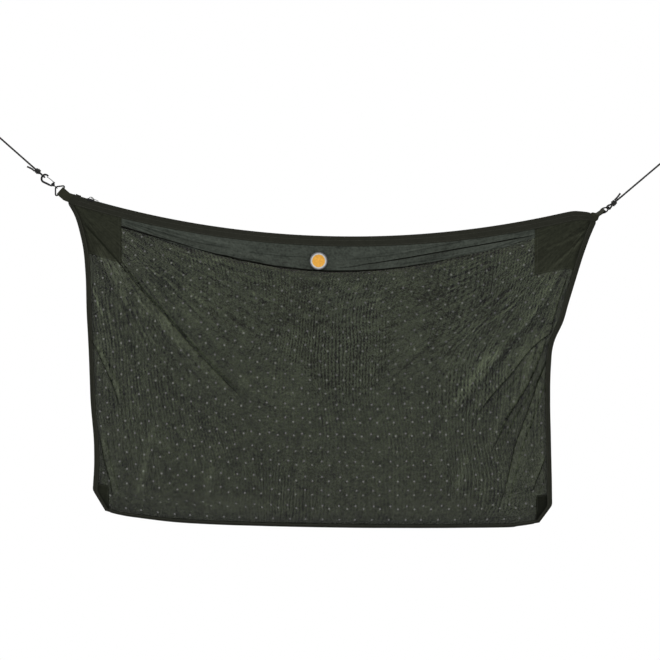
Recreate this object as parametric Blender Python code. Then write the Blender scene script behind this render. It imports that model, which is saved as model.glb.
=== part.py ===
"""Carp sack: a zipped bag of soft mesh that hangs from two cords.

Units are metres. X runs along the sack, Z points up and -Y is the front.
The origin is the middle of the left ring's bar, inside the eye of the left webbing.
"""
import bmesh
import bpy
from math import acos, atan2, ceil, cos, pi, radians, sin, sqrt, tan
from mathutils import Matrix, Vector

# Cloth, tape and clearances
CLOTH = 0.0007
GAP = 0.0003
SEAM = 0.00045
BELLY = 0.062
BINDING_WIDTH = 0.014
BOTTOM_BINDING = 0.009
TOP_PATCH_WIDTH = 0.105
TOP_PATCH_EDGE = (0.159, 1.2415)
TOP_PATCH_DROP = 0.145
CORNER_PATCH_WIDTH = 0.047
CORNER_PATCH_RISE = 0.075
CORNER_PATCH_FOOT = 0.2

# Zip along the top edge: its chain lies on one arc
ZIP_RADIUS = 2.479
ZIP_START = 0.040
ZIP_SPAN = 1.273
ZIP_LOWEST = (0.765, -0.118)
ZIP_TURN = (0.082, -0.011)
TURN_START = (0.031, 0.0055)
TURN_END = (-0.012, 0.0025)
CHAIN_RISE = 0.005
TAPE_DROP = 0.021
HEM_DROP = (0.085, 0.039)
HEM_ROW = 2
PATCH_ROW = 4
ZIP_END_LENGTH = (0.013, 0.005)
ZIP_END_RISE = (0.0026, 0)
SLIDER_START = 0.079
SLIDER_LENGTH = 0.018
SLIDER_WALL = 0.0013
SLIDER_PLAY = 0.0006
SLIDER_SKIRT = 0.0045
SLIDER_WAIST = 0.0018
BRIDGE_HALF_LENGTH = 0.006
BRIDGE_RISE = 0.0046
BRIDGE_WIRE = 0.0009
PULL_TAB = 0.013
PULL_WIDTH = 0.0078
PULL_THICKNESS = 0.0014
PULL_CORNER = 0.0023
PULL_TILT = 8

# Sides and bottom of the sack as it hangs: (share of the side's drop, inset)
SIDE_DROP = (0.752, 0.742)
LEFT_SIDE = ((0.047, 0.0193), (0.107, 0.0327), (0.172, 0.0423), (0.255, 0.0473), (0.378, 0.050),
             (0.520, 0.0553), (0.696, 0.0605), (0.820, 0.0683), (0.908, 0.0696), (1.0, 0.066))
RIGHT_SIDE = ((0.034, 0.0113), (0.069, 0.0217), (0.140, 0.040), (0.281, 0.0717), (0.352, 0.0872),
              (0.422, 0.1108), (0.493, 0.1187), (0.634, 0.1213), (0.882, 0.1174), (1.0, 0.1161))
CORNER_CUT = ((0.033, 0.055), (0.034, 0.046))
BOTTOM_SAG = ((0.03, 0.008), (0.072, 0.0145), (0.174, 0.0243), (0.33, 0.0273), (0.607, 0.0246),
              (0.90, 0.015), (0.953, 0.0094))
PANEL_CLOSED = (0.11, 0.22)
COLUMNS_BESIDE_BADGE = 9
MIDDLE_ROWS = 9
LINE_STEP = 0.012

# Round patch on the hem
BADGE_X = 0.678
BADGE_DROP = 0.0405
BADGE_RADIUS = 0.023
BADGE_THICKNESS = 0.0012
BADGE_RIM = 0.0012
BADGE_RIM_RISE = 0.001
BADGE_MARGIN = 0.004

# Webbing that the rings hang in
WEBBING_WIDTH = 0.025
WEBBING_THICKNESS = 0.0014
WEBBING_FREE = 0.032
WEBBING_SEWN = 0.042
WEBBING_STEP = 0.0028
WEBBING_NECK = 0.004
BAR_OPENING = 65
PANEL_SPACE = 2 * WEBBING_THICKNESS + 3 * GAP
MOUTH_CLEARANCE = 0.0015
LEFT_WEBBING_ANGLE = 34
RIGHT_WEBBING_ANGLE = 33
RIGHT_WEBBING_TWIST = 68
TWIST_SHARE = 0.62

# Rings, swivel, hook and gate
RING_WIRE = 0.0021
RING_HEIGHT = 0.0185
RING_CORNER = 0.0031
RING_TIP = 0.0052
RING_PLAY = 0.0005
BAR_PLAY = 0.0004
RIG_ANGLE = 41.4
EYE_WIRE = 0.0014
EYE_RADIUS = 0.0046
EYE_NECK = 0.0009
COLLAR_LENGTH = 0.0013
SHANK_RADIUS = 0.0019
SHANK_PLAY = 0.0004
HUB_RADIUS = 0.0046
HUB_LENGTH = 0.006
RIVET_RADIUS = 0.0032
RIVET_LENGTH = 0.0014
HOOK_WIRE = 0.0029
HOOK_REACH = 0.0385
HOOK_OUT = 0.0114
HOOK_NOSE = 0.0087
NOSE_LENGTH = 0.012
NOSE_OVERLAP = 0.0012
NOSE_SHARE = 0.78
GATE_WIRE = 0.0009
GATE_HALF_WIDTH = (0.0044, 0.0032)
GATE_CORNER = 0.0012
GATE_BOW = 0.0007
HINGE_PLACE = (0.0018, 0.0014)
LUG_HALF_WIDTH = 0.0024
LUG_RADIUS = 0.0022

# Cords, knots and end loops
CORD = 0.0024
LOOP_PLAY = 0.0006
LEG_SPREAD = 0.0023
KNOT_RADIUS = 0.0075
KNOT_LENGTH = 0.0165
KNOT_GROOVE = 0.0018
KNOT_BULGES = 3
KNOT_STANDOFF = 0.0032
TAIL_LENGTH = 0.021
LEFT_CORD_LENGTH = 0.148
RIGHT_CORD_LENGTH = 0.17
CORD_ANGLE_RIGHT = 41.5
END_LOOP_LENGTH = 0.052
END_LOOP_HALF_WIDTH = 0.012

UP = Vector((0, 0, 1))
BACK = Vector((0, 1, 0))


def material(name, colour, roughness, metallic=0.0):
    made = bpy.data.materials.new(name)
    made.use_nodes = True
    shader = made.node_tree.nodes["Principled BSDF"]
    shader.inputs["Base Color"].default_value = (*colour, 1)
    shader.inputs["Roughness"].default_value = roughness
    shader.inputs["Metallic"].default_value = metallic
    return made


def add_object(name, data, finish, place=None):
    data.materials.append(finish)
    made = bpy.data.objects.new(name, data)
    bpy.context.scene.collection.objects.link(made)
    if place is not None:
        made.matrix_world = place
    return made


def add_mesh(name, parts, finish, place=None, round_edges=None):
    """Makes one object from closed shells, each a list of points and a list of faces."""
    mesh = bpy.data.meshes.new(name)
    work = bmesh.new()
    for points, faces in parts:
        corners = [work.verts.new(p) for p in points]
        for face in faces:
            work.faces.new([corners[i] for i in face])
    bmesh.ops.recalc_face_normals(work, faces=work.faces)
    work.to_mesh(mesh)
    work.free()
    if round_edges:
        mesh.shade_smooth()
        mesh.set_sharp_from_angle(angle=radians(round_edges))
    return add_object(name, mesh, finish, place)


def add_tube(name, points, radius, finish, place=None, closed=False, widths=None, resolution=2):
    """Makes a round bar or cord through the points; widths are shares of the radius."""
    curve = bpy.data.curves.new(name, "CURVE")
    curve.dimensions = "3D"
    curve.bevel_depth = radius
    curve.bevel_resolution = resolution
    curve.use_fill_caps = True
    line = curve.splines.new("POLY")
    line.points.add(len(points) - 1)
    for i, point in enumerate(points):
        line.points[i].co = (*point, 1)
        line.points[i].radius = widths[i] if widths else 1
    line.use_cyclic_u = closed
    line.use_smooth = True
    return add_object(name, curve, finish, place)


def shell(inner, outer, turned=()):
    """Closes the space between two like grids of points; turned rows have the other diagonal."""
    rows = len(inner)
    columns = len(inner[0])
    points = [p for row in inner for p in row] + [p for row in outer for p in row]
    far = rows * columns

    def at(i, j):
        return i * columns + j

    faces = []
    for i in range(rows - 1):
        for j in range(columns - 1):
            a, b, c, d = at(i, j), at(i, j + 1), at(i + 1, j + 1), at(i + 1, j)
            halves = ((a, b, d), (b, c, d)) if i in turned else ((a, b, c), (a, c, d))
            for half in halves:
                faces.append(half)
                faces.append(tuple(far + k for k in reversed(half)))
    rim = [at(0, j) for j in range(columns)] + [at(i, columns - 1) for i in range(1, rows)]
    rim += [at(rows - 1, j) for j in range(columns - 2, -1, -1)] + [at(i, 0) for i in range(rows - 2, 0, -1)]
    for a, b in zip(rim, rim[1:] + rim[:1]):
        faces.append((b, a, far + a, far + b))
    return points, faces


def turned_solid(profile, sides=16):
    """Spins a closed profile of (along X, radius) pairs about the X axis."""
    points = []
    for k in range(sides):
        angle = 2 * pi * k / sides
        points += [(x, r * cos(angle), r * sin(angle)) for x, r in profile]
    count = len(profile)
    faces = []
    for k in range(sides):
        here, there = k * count, (k + 1) % sides * count
        for i in range(count):
            j = (i + 1) % count
            faces.append((here + i, here + j, there + j, there + i))
    return points, faces


def prism(outline, low, high):
    """Closes a flat outline of (x, y) pairs between two heights."""
    count = len(outline)
    points = [(x, y, z) for z in (low, high) for x, y in outline]
    faces = [tuple(range(count - 1, -1, -1)), tuple(range(count, 2 * count))]
    for k in range(count):
        after = (k + 1) % count
        faces.append((k, after, count + after, count + k))
    return points, faces


def capped_solid(profile, sides=16):
    """Spins an open profile about the X axis and closes both ends flat."""
    points = []
    for x, r in profile:
        points += [(x, r * cos(2 * pi * k / sides), r * sin(2 * pi * k / sides)) for k in range(sides)]
    faces = [tuple(range(sides)), tuple(len(points) - sides + k for k in range(sides - 1, -1, -1))]
    for i in range(len(profile) - 1):
        for k in range(sides):
            near, far = i * sides, (i + 1) * sides
            after = (k + 1) % sides
            faces.append((near + k, near + after, far + after, far + k))
    return points, faces


def smooth_line(knots, step):
    """Points about a step apart on a smooth curve through the knots."""
    knots = [Vector(k) for k in knots]
    ends = [2 * knots[0] - knots[1]] + knots + [2 * knots[-1] - knots[-2]]
    found = [knots[0]]
    for p0, p1, p2, p3 in zip(ends, ends[1:], ends[2:], ends[3:]):
        count = max(1, ceil((p2 - p1).length / step))
        for k in range(1, count + 1):
            t = k / count
            bend = 2 * p0 - 5 * p1 + 4 * p2 - p3
            twist = 3 * p1 - 3 * p2 + p3 - p0
            found.append(p1 + ((p2 - p0) * t + bend * t * t + twist * t * t * t) / 2)
    return found


def along(line, shares):
    """Points at the given shares of a line's length."""
    lengths = [0]
    for a, b in zip(line, line[1:]):
        lengths.append(lengths[-1] + (b - a).length)
    found = []
    for share in shares:
        target = min(max(share, 0), 1) * lengths[-1]
        k = 0
        while k < len(line) - 2 and lengths[k + 1] < target:
            k += 1
        stretch = lengths[k + 1] - lengths[k]
        found.append(line[k].lerp(line[k + 1], (target - lengths[k]) / stretch))
    return found


def at_height(line, share):
    """The point at the given share of a rising line's height."""
    target = line[0].z + (line[-1].z - line[0].z) * share
    k = 0
    while k < len(line) - 2 and line[k + 1].z < target:
        k += 1
    return line[k].lerp(line[k + 1], (target - line[k].z) / (line[k + 1].z - line[k].z))


def length_of(line):
    return sum((b - a).length for a, b in zip(line, line[1:]))


def direction(degrees, side):
    """A unit vector in the XZ plane, up and outwards; side is -1 for left and 1 for right."""
    return Vector((side * cos(radians(degrees)), 0, sin(radians(degrees))))


def zip_point(x):
    """The point of the zip's arc at x, on the crest of the chain."""
    centre_x = ZIP_LOWEST[0]
    centre_z = ZIP_LOWEST[1] + ZIP_RADIUS
    return Vector((x, 0, centre_z - sqrt(ZIP_RADIUS ** 2 - (x - centre_x) ** 2)))


def frame_of(x_axis, y_axis, origin):
    """A placing matrix with these two axes and their cross product."""
    x_axis = x_axis.normalized()
    y_axis = (y_axis - y_axis.dot(x_axis) * x_axis).normalized()
    z_axis = x_axis.cross(y_axis)
    turn = Matrix((x_axis, y_axis, z_axis)).transposed().to_4x4()
    return Matrix.Translation(origin) @ turn


# The left webbing runs from the origin to the left mouth, the gap in the sack's corner
LEFT_WAY = -direction(LEFT_WEBBING_ANGLE, -1)
LEFT_MOUTH = LEFT_WAY * WEBBING_FREE
RIGHT_WAY = -direction(RIGHT_WEBBING_ANGLE, 1)
ZIP_FINISH = zip_point(ZIP_START + ZIP_SPAN)
RIGHT_MOUTH = ZIP_FINISH + Vector((ZIP_TURN[0], 0, ZIP_TURN[1]))
RIGHT_BAR = RIGHT_MOUTH - RIGHT_WAY * WEBBING_FREE


def mouth_corners(mouth, way):
    """The upper and lower ends of the gap that a webbing leaves the sack by."""
    across = Vector((-way.z, 0, way.x))
    if across.z < 0:
        across.negate()
    half = WEBBING_WIDTH / 2 + MOUTH_CLEARANCE
    return mouth + across * half, mouth - across * half


LEFT_UPPER, LEFT_LOWER = mouth_corners(LEFT_MOUTH, LEFT_WAY)
RIGHT_UPPER, RIGHT_LOWER = mouth_corners(RIGHT_MOUTH, RIGHT_WAY)


def crest_line():
    """The top edge: a short lead-in, the zip's arc, and the turn down to the right webbing."""
    steps = 120
    arc = [zip_point(ZIP_START + ZIP_SPAN * k / steps) for k in range(steps + 1)]
    start, end = (Vector((x, 0, z)) for x, z in (TURN_START, TURN_END))
    turn = smooth_line([ZIP_FINISH, ZIP_FINISH + start, RIGHT_UPPER + end, RIGHT_UPPER], LINE_STEP / 3)
    return [LEFT_UPPER] + arc + turn[1:]


def side_line(upper, lower, drop, shape, corner, side):
    """A side edge, from the foot of the cut bottom corner up to the panel's top."""
    knots = [lower]
    for share, inset in shape:
        knots.append(lower + Vector((-side * inset, 0, -share * drop)))
    cut_end = knots[-1] + Vector((-side * corner[0], 0, -corner[1]))
    line = smooth_line(knots, LINE_STEP)
    return [cut_end] + list(reversed(line)) + [upper - UP * CHAIN_RISE]


def bottom_line(left_foot, right_foot):
    knots = [left_foot]
    for share, sag in BOTTOM_SAG:
        knots.append(left_foot.lerp(right_foot, share) - UP * sag)
    knots.append(right_foot)
    return smooth_line(knots, LINE_STEP)


class Cloth:
    """The inner faces of both panels, on one lattice of rows and columns.

    Row 0 is the zip's crest, row 1 the panels' top edge and the last row the bottom edge.
    """

    def __init__(self):
        left = side_line(LEFT_UPPER, LEFT_LOWER, SIDE_DROP[0], LEFT_SIDE, CORNER_CUT[0], -1)
        right = side_line(RIGHT_UPPER, RIGHT_LOWER, SIDE_DROP[1], RIGHT_SIDE, CORNER_CUT[1], 1)
        bottom = bottom_line(left[0], right[0])
        crest = crest_line()
        top = [p - UP * CHAIN_RISE for p in crest]
        self.columns = self.column_shares(top)
        crest_points = along(crest, self.columns)
        tops = along(top, self.columns)
        feet = along(bottom, self.columns)
        middle = along(top, [0.5])[0].z - along(bottom, [0.5])[0].z
        shares = self.row_shares((left[-1].z - left[0].z, middle, right[-1].z - right[0].z))
        self.plan = [crest_points]
        for k, (at_left, at_middle, at_right) in enumerate(shares):
            row = []
            for j, u in enumerate(self.columns):
                even = at_left * (1 - u) + at_right * u
                sag = sin(pi * u) ** 2 if k == HEM_ROW else sin(pi * u)
                v = even + (at_middle - (at_left + at_right) / 2) * sag
                side_left, side_right = at_height(left, v), at_height(right, v)
                row.append((1 - v) * feet[j] + v * tops[j] + (1 - u) * side_left + u * side_right
                           - (1 - u) * (1 - v) * feet[0] - u * (1 - v) * feet[-1]
                           - (1 - u) * v * tops[0] - u * v * tops[-1])
            self.plan.append(row)
        self.heights = [[self.half_depth(i, j, shares) for j in range(len(self.columns))]
                        for i in range(len(self.plan))]
        self.tilts = [[self.tilt(i, j) for j in range(len(self.columns))] for i in range(len(self.plan))]

    def column_shares(self, top):
        """Column lines: binding, small patch and large patch at each end, and the badge's cell."""
        whole = length_of(top)
        near = [0, BINDING_WIDTH, CORNER_PATCH_WIDTH, TOP_PATCH_WIDTH]
        badge_half = BADGE_RADIUS + BADGE_MARGIN
        badge = (BADGE_X - LEFT_UPPER.x) * whole / (RIGHT_UPPER.x - LEFT_UPPER.x)
        marks = list(near)
        for start, end in ((near[-1], badge - badge_half), (badge + badge_half, whole - near[-1])):
            count = COLUMNS_BESIDE_BADGE
            marks += [start + (end - start) * k / count for k in range(1, count + 1)]
            if end < badge:
                marks.append(badge + badge_half)
        marks += [whole - d for d in reversed(near[:-1])]
        return [m / whole for m in marks]

    def row_shares(self, heights):
        """Each row's share of the height at the left end, the middle and the right end.

        The rows are the top edge, the tape and hem lines, one halfway down to the patch
        line, the patch line, even rows, the small patch, the cut corner, the binding and
        the bottom edge.
        """
        mouth_left = LEFT_UPPER.z - CHAIN_RISE - LEFT_LOWER.z
        mouth_right = RIGHT_UPPER.z - CHAIN_RISE - RIGHT_LOWER.z
        drops = [(0, 0, 0), (mouth_left, TAPE_DROP, mouth_right),
                 (HEM_DROP[1], HEM_DROP[0], HEM_DROP[1]),
                 ((HEM_DROP[1] + TOP_PATCH_DROP) / 2, (HEM_DROP[0] + TOP_PATCH_DROP) / 2,
                  (HEM_DROP[1] + TOP_PATCH_DROP) / 2), (TOP_PATCH_DROP,) * 3]
        cut_rises = CORNER_CUT[0][1], (CORNER_CUT[0][1] + CORNER_CUT[1][1]) / 2, CORNER_CUT[1][1]
        rises = [(CORNER_PATCH_RISE,) * 3, cut_rises, (BOTTOM_BINDING,) * 3, (0, 0, 0)]
        rows = [tuple(1 - drop / height for drop, height in zip(line, heights)) for line in drops]
        low = [tuple(rise / height for rise, height in zip(line, heights)) for line in rises]
        for k in range(1, MIDDLE_ROWS):
            t = k / MIDDLE_ROWS
            rows.append(tuple(a * (1 - t) + b * t for a, b in zip(rows[PATCH_ROW], low[0])))
        return rows + low

    def half_depth(self, i, j, shares):
        """How far the panel's inner face lies from the middle plane."""
        u = self.columns[j]
        row = max(i - 1, 0)
        v = min(max(shares[row][1], 0), 1)
        drop = 1 - v
        opened = min(max((PANEL_CLOSED[1] - drop) / (PANEL_CLOSED[1] - PANEL_CLOSED[0]), 0), 1)
        rest = GAP / 2 + (PANEL_SPACE - GAP) / 2 * opened
        belly = 0 if row == 0 else BELLY * sin(pi * u) * sin(pi * v) * (1 + 0.6 * cos(pi * v)) / 1.134
        return rest + belly

    def tilt(self, i, j):
        """The outward normal, as (x, z) leanings beside a depth of 1."""
        last_row, last_column = len(self.plan) - 1, len(self.columns) - 1
        if i <= 1 or i == last_row or j in (0, last_column):
            return Vector((0, 1, 0))
        along_x = self.inner(i, j + 1) - self.inner(i, j - 1)
        up_z = self.inner(i - 1, j) - self.inner(i + 1, j)
        normal = up_z.cross(along_x)
        return normal.normalized() if normal.y > 0 else -normal.normalized()

    def inner(self, i, j):
        point = self.plan[i][j]
        return Vector((point.x, self.heights[i][j], point.z))

    def point(self, row, column, side, offset):
        """A point on the lattice, at any share of a cell, pushed out by the offset."""
        i, j = min(int(row), len(self.plan) - 2), min(int(column), len(self.columns) - 2)
        s, t = row - i, column - j
        place, normal = Vector(), Vector()
        for di, dj, share in ((0, 0, (1 - s) * (1 - t)), (0, 1, (1 - s) * t),
                              (1, 0, s * (1 - t)), (1, 1, s * t)):
            if share:
                place += share * self.inner(i + di, j + dj)
                normal += share * self.tilts[i + di][j + dj]
        found = place + normal * offset
        found.y *= side
        return found

    def column_at(self, row, x, column):
        """The lattice place of an x on a row, in the cell that starts at the column."""
        a, b = self.plan[row][column], self.plan[row][column + 1]
        return column + (x - a.x) / (b.x - a.x)

    def column_gap(self, row, column, distance):
        """The share of a cell that a distance beside a column line takes up."""
        a = self.point(row, column, 1, 0)
        b = self.point(row, column + 1, 1, 0)
        return distance / (b - a).length

    def sheet_over(self, side, places, layer):
        """A closed layer of cloth over rows of lattice places; layer 0 is the panel."""
        low = layer * (CLOTH + GAP)
        inner = [[self.point(i, j, side, low) for i, j in row] for row in places]
        outer = [[self.point(i, j, side, low + CLOTH) for i, j in row] for row in places]
        return shell(inner, outer)

    def sheet(self, side, rows, columns, layer):
        return self.sheet_over(side, [[(i, j) for j in columns] for i in rows], layer)


def stretch(first, last, start_gap=0.0, end_gap=0.0):
    """Line numbers from first to last, the end ones moved in by the gaps."""
    return [first + start_gap] + list(range(first + 1, last)) + [last - end_gap]


def make_panels(cloth, finish):
    rows = stretch(1, len(cloth.plan) - 1)
    columns = stretch(0, len(cloth.columns) - 1)
    for side, name in ((-1, "front_panel"), (1, "back_panel")):
        add_mesh(name, [cloth.sheet(side, rows, columns, 0)], finish, round_edges=40)


def make_hems_and_patches(cloth, finish, patch_finish):
    last_row, last = len(cloth.plan) - 1, len(cloth.columns) - 1
    inset = cloth.column_gap(last_row - 1, 1, SEAM)
    seam = cloth.column_gap(3, 3, SEAM)
    above = SEAM / (CORNER_CUT[0][1] - BOTTOM_BINDING)
    for side, name in ((-1, "front"), (1, "back")):
        ends = [(cloth.column_at(i, TOP_PATCH_EDGE[0], 3), cloth.column_at(i, TOP_PATCH_EDGE[1], last - 4))
                for i in range(PATCH_ROW + 2)]
        places = [[(i, ends[i][0] + seam)] + [(i, j) for j in range(4, last - 3)] + [(i, ends[i][1] - seam)]
                  for i in (1, 2, 3)]
        add_mesh(f"{name}_hem", [cloth.sheet_over(side, places, 1)], finish, round_edges=40)
        for hand in ("left", "right"):
            places = []
            for i in range(1, PATCH_ROW + 2):
                row = [1 + inset, 2, 3, ends[i][0]]
                if hand == "right":
                    row = [ends[i][1], last - 3, last - 2, last - 1 - inset]
                places.append([(i, j) for j in row])
            patch = cloth.sheet_over(side, places, 1)
            add_mesh(f"{name}_top_patch_{hand}", [patch], patch_finish, round_edges=40)
        for hand in ("left", "right"):
            places = []
            for i, width in zip(stretch(last_row - 3, last_row - 1, 0, above), (1, 1, CORNER_PATCH_FOOT)):
                near, far = 1 + inset, 1 + width
                columns = (near, far) if hand == "left" else (last - far, last - near)
                places.append([(i, j) for j in columns])
            patch = cloth.sheet_over(side, places, 1)
            add_mesh(f"{name}_bottom_patch_{hand}", [patch], patch_finish, round_edges=40)


def wrap(stations, turned):
    """A folded tape; each station holds (inner, outer) pairs from the front round to the back."""
    lines = range(len(stations[0]))
    inner = [[station[k][0] for station in stations] for k in lines]
    outer = [[station[k][1] for station in stations] for k in lines]
    return shell(inner, outer, turned)


def wrap_station(inside, edge, outward, cloth):
    """Points of a tape folded over one edge; inside and edge are lattice places."""
    low, high = CLOTH + GAP, 2 * CLOTH + GAP
    pairs = []
    for side, place in ((-1, inside), (-1, edge), (1, edge), (1, inside)):
        push = outward if place is edge else Vector()
        pairs.append((cloth.point(*place, side, low) + push * GAP,
                      cloth.point(*place, side, high) + push * (GAP + CLOTH)))
    return pairs


def make_bindings(cloth, finish):
    last_row, last = len(cloth.plan) - 1, len(cloth.columns) - 1
    for hand, edge, inside, outward in (("left", 0, 1, -1), ("right", last, last - 1, 1)):
        stations = []
        for i in range(2, last_row + 1):
            above = cloth.point(max(i - 1, 2), edge, 1, 0)
            below = cloth.point(min(i + 1, last_row), edge, 1, 0)
            run = above - below
            away = Vector((run.z, 0, -run.x)).normalized()
            away = away if away.x * outward > 0 else -away
            stations.append(wrap_station((i, inside), (i, edge), away, cloth))
        turned = {0} if hand == "left" else {2}
        add_mesh(f"{hand}_side_binding", [wrap(stations, turned)], finish, round_edges=40)
    inset = cloth.column_gap(last_row, 1, 3 * SEAM)
    stations = []
    for j in stretch(1, last - 1, inset, inset):
        run = cloth.point(last_row, min(j + 0.5, last), 1, 0) - cloth.point(last_row, max(j - 0.5, 0), 1, 0)
        away = Vector((run.z, 0, -run.x)).normalized()
        away = away if away.z < 0 else -away
        stations.append(wrap_station((last_row - 1, j), (last_row, j), away, cloth))
    add_mesh("bottom_binding", [wrap(stations, {2})], finish, round_edges=40)


def chain_columns(cloth, start_x, end_x):
    """Lattice places along the crest between two x values."""
    crest = cloth.plan[0]
    places = []
    for j, (a, b) in enumerate(zip(crest, crest[1:])):
        if a.x <= start_x < b.x:
            places.append(j + (start_x - a.x) / (b.x - a.x))
        if start_x < b.x < end_x:
            places.append(j + 1)
        if a.x < end_x <= b.x:
            places.append(j + (end_x - a.x) / (b.x - a.x))
    return places


def chain_block(cloth, columns, near, far, side, foot_rise, rise):
    """A bar between the tapes, from near to far of the middle plane."""
    inner, outer = [], []
    for j in columns:
        foot = cloth.point(1, j, 1, 0) + UP * foot_rise
        top = cloth.point(0, j, 1, 0) + UP * rise
        inner.append([Vector((p.x, side * near, p.z)) for p in (foot, top)])
        outer.append([Vector((p.x, side * far, p.z)) for p in (foot, top)])
    return shell(inner, outer)


def tape_inside():
    """The distance of a tape's inner face from the middle plane, along the chain."""
    return PANEL_SPACE / 2 + 2 * (CLOTH + GAP)


def make_zip(cloth, tape_finish, chain_finish):
    last = len(cloth.columns) - 1
    inset = cloth.column_gap(1, 1, SEAM)
    width = tape_inside() - GAP
    zip_end = ZIP_START + ZIP_SPAN
    chain_start = ZIP_START + ZIP_END_LENGTH[0] + GAP
    chain_end = zip_end - ZIP_END_LENGTH[1] - GAP
    for side, name in ((-1, "front"), (1, "back")):
        tape = cloth.sheet(side, [0, 1, 2], stretch(1, last - 1, inset, inset), 2)
        add_mesh(f"zip_tape_{name}", [tape], tape_finish, round_edges=40)
        places = chain_columns(cloth, chain_start, chain_end)
        chain = chain_block(cloth, places, GAP / 2, width, side, GAP, 0)
        add_mesh(f"zip_chain_{name}", [chain], chain_finish)
    for hand, start, end, rise in (("left", ZIP_START, chain_start - GAP, ZIP_END_RISE[0]),
                                   ("right", chain_end + GAP, zip_end, ZIP_END_RISE[1])):
        places = chain_columns(cloth, start, end)
        end_fold = chain_block(cloth, places, -width, width, 1, CHAIN_RISE / 2, rise)
        add_mesh(f"zip_end_{hand}", [end_fold], tape_finish)


def slider_place():
    """Placing matrix of the slider: X along the zip, Z away from the chain."""
    here = zip_point(SLIDER_START)
    centre = Vector((ZIP_LOWEST[0], 0, ZIP_LOWEST[1] + ZIP_RADIUS))
    up = (centre - here).normalized()
    return frame_of(BACK.cross(up), BACK, here)


def make_slider(metal):
    inside = tape_inside() + CLOTH + GAP
    outside = inside + SLIDER_WALL
    roof, top = SLIDER_PLAY, SLIDER_PLAY + SLIDER_WALL
    section = [(-inside, -SLIDER_SKIRT), (-inside, roof), (inside, roof), (inside, -SLIDER_SKIRT)]
    cover = [(-outside, -SLIDER_SKIRT), (-outside, top), (outside, top), (outside, -SLIDER_SKIRT)]
    half = SLIDER_LENGTH / 2
    narrow = 1 - (SLIDER_WALL - CLOTH) / outside
    inner, outer = [], []
    for x, share in ((-half, narrow), (-SLIDER_WAIST, 1), (SLIDER_WAIST, 1), (half, narrow)):
        inner.append([(x, y, z) for y, z in section])
        outer.append([(x, y * share, z) for y, z in cover])
    place = slider_place()
    body = add_mesh("zip_slider", [shell(inner, outer)], metal, place, round_edges=30)
    steps = 10
    reach = BRIDGE_HALF_LENGTH
    angles = [pi * k / steps for k in range(steps + 1)]
    arch = [(reach * cos(a), 0, top + BRIDGE_RISE * sin(a)) for a in angles]
    sunk = top - SLIDER_WALL / 2
    arch = [(reach, 0, sunk)] + arch + [(-reach, 0, sunk)]
    bridge = add_tube("slider_bridge", arch, BRIDGE_WIRE, metal, place)
    join(body, bridge)
    return place


def join(body, extra):
    """Unites one object with another by a Boolean modifier."""
    depsgraph = bpy.context.evaluated_depsgraph_get()
    if extra.type == "CURVE":
        mesh = bpy.data.meshes.new_from_object(extra.evaluated_get(depsgraph))
        solid = bpy.data.objects.new(extra.name + "_solid", mesh)
        bpy.context.scene.collection.objects.link(solid)
        solid.matrix_world = extra.matrix_world
        bpy.data.objects.remove(extra)
        extra = solid
    union = body.modifiers.new("Join " + extra.name, "BOOLEAN")
    union.operation = "UNION"
    union.object = extra
    extra.hide_render = True
    extra.display_type = "WIRE"


def cut(body, cutter):
    """Cuts one object out of another by a Boolean modifier."""
    less = body.modifiers.new("Cut " + cutter.name, "BOOLEAN")
    less.operation = "DIFFERENCE"
    less.object = cutter
    cutter.hide_render = True
    cutter.display_type = "WIRE"


def make_pull(metal, place):
    """A flat tab with a window that the slider's bridge goes through."""
    bar = PULL_THICKNESS
    half, thick = PULL_WIDTH / 2, PULL_THICKNESS / 2
    bridge_inside = SLIDER_PLAY + SLIDER_WALL + BRIDGE_RISE - BRIDGE_WIRE
    pivot = Vector((0, 0, bridge_inside - 2 * GAP - bar / 2))
    window_end = BRIDGE_HALF_LENGTH + BRIDGE_WIRE + 3 * GAP
    window_half = BRIDGE_WIRE + 3 * GAP
    corner = PULL_CORNER
    end = window_end + PULL_TAB
    outer = [(-bar / 2, -half), (end - corner, -half), (end, -half + corner), (end, half - corner),
             (end - corner, half), (-bar / 2, half)]
    inner = [(bar / 2, -window_half), (window_end, -window_half),
             (window_end, window_half), (bar / 2, window_half)]
    points = [(x, y, z) for z in (-thick, thick) for x, y in outer + inner]
    level = len(outer) + len(inner)
    ring = [(0, 1, 7, 6), (1, 2, 3, 4, 8, 7), (4, 5, 9, 8), (5, 0, 6, 9)]
    faces = []
    for face in ring:
        faces.append(tuple(reversed(face)))
        faces.append(tuple(level + k for k in face))
    for loop in (list(range(6)), [9, 8, 7, 6]):
        for a, b in zip(loop, loop[1:] + loop[:1]):
            faces.append((a, b, level + b, level + a))
    tilt = Matrix.Rotation(radians(PULL_TILT), 4, "Y")
    add_mesh("zip_pull", [(points, faces)], metal, place @ Matrix.Translation(pivot) @ tilt)


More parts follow.
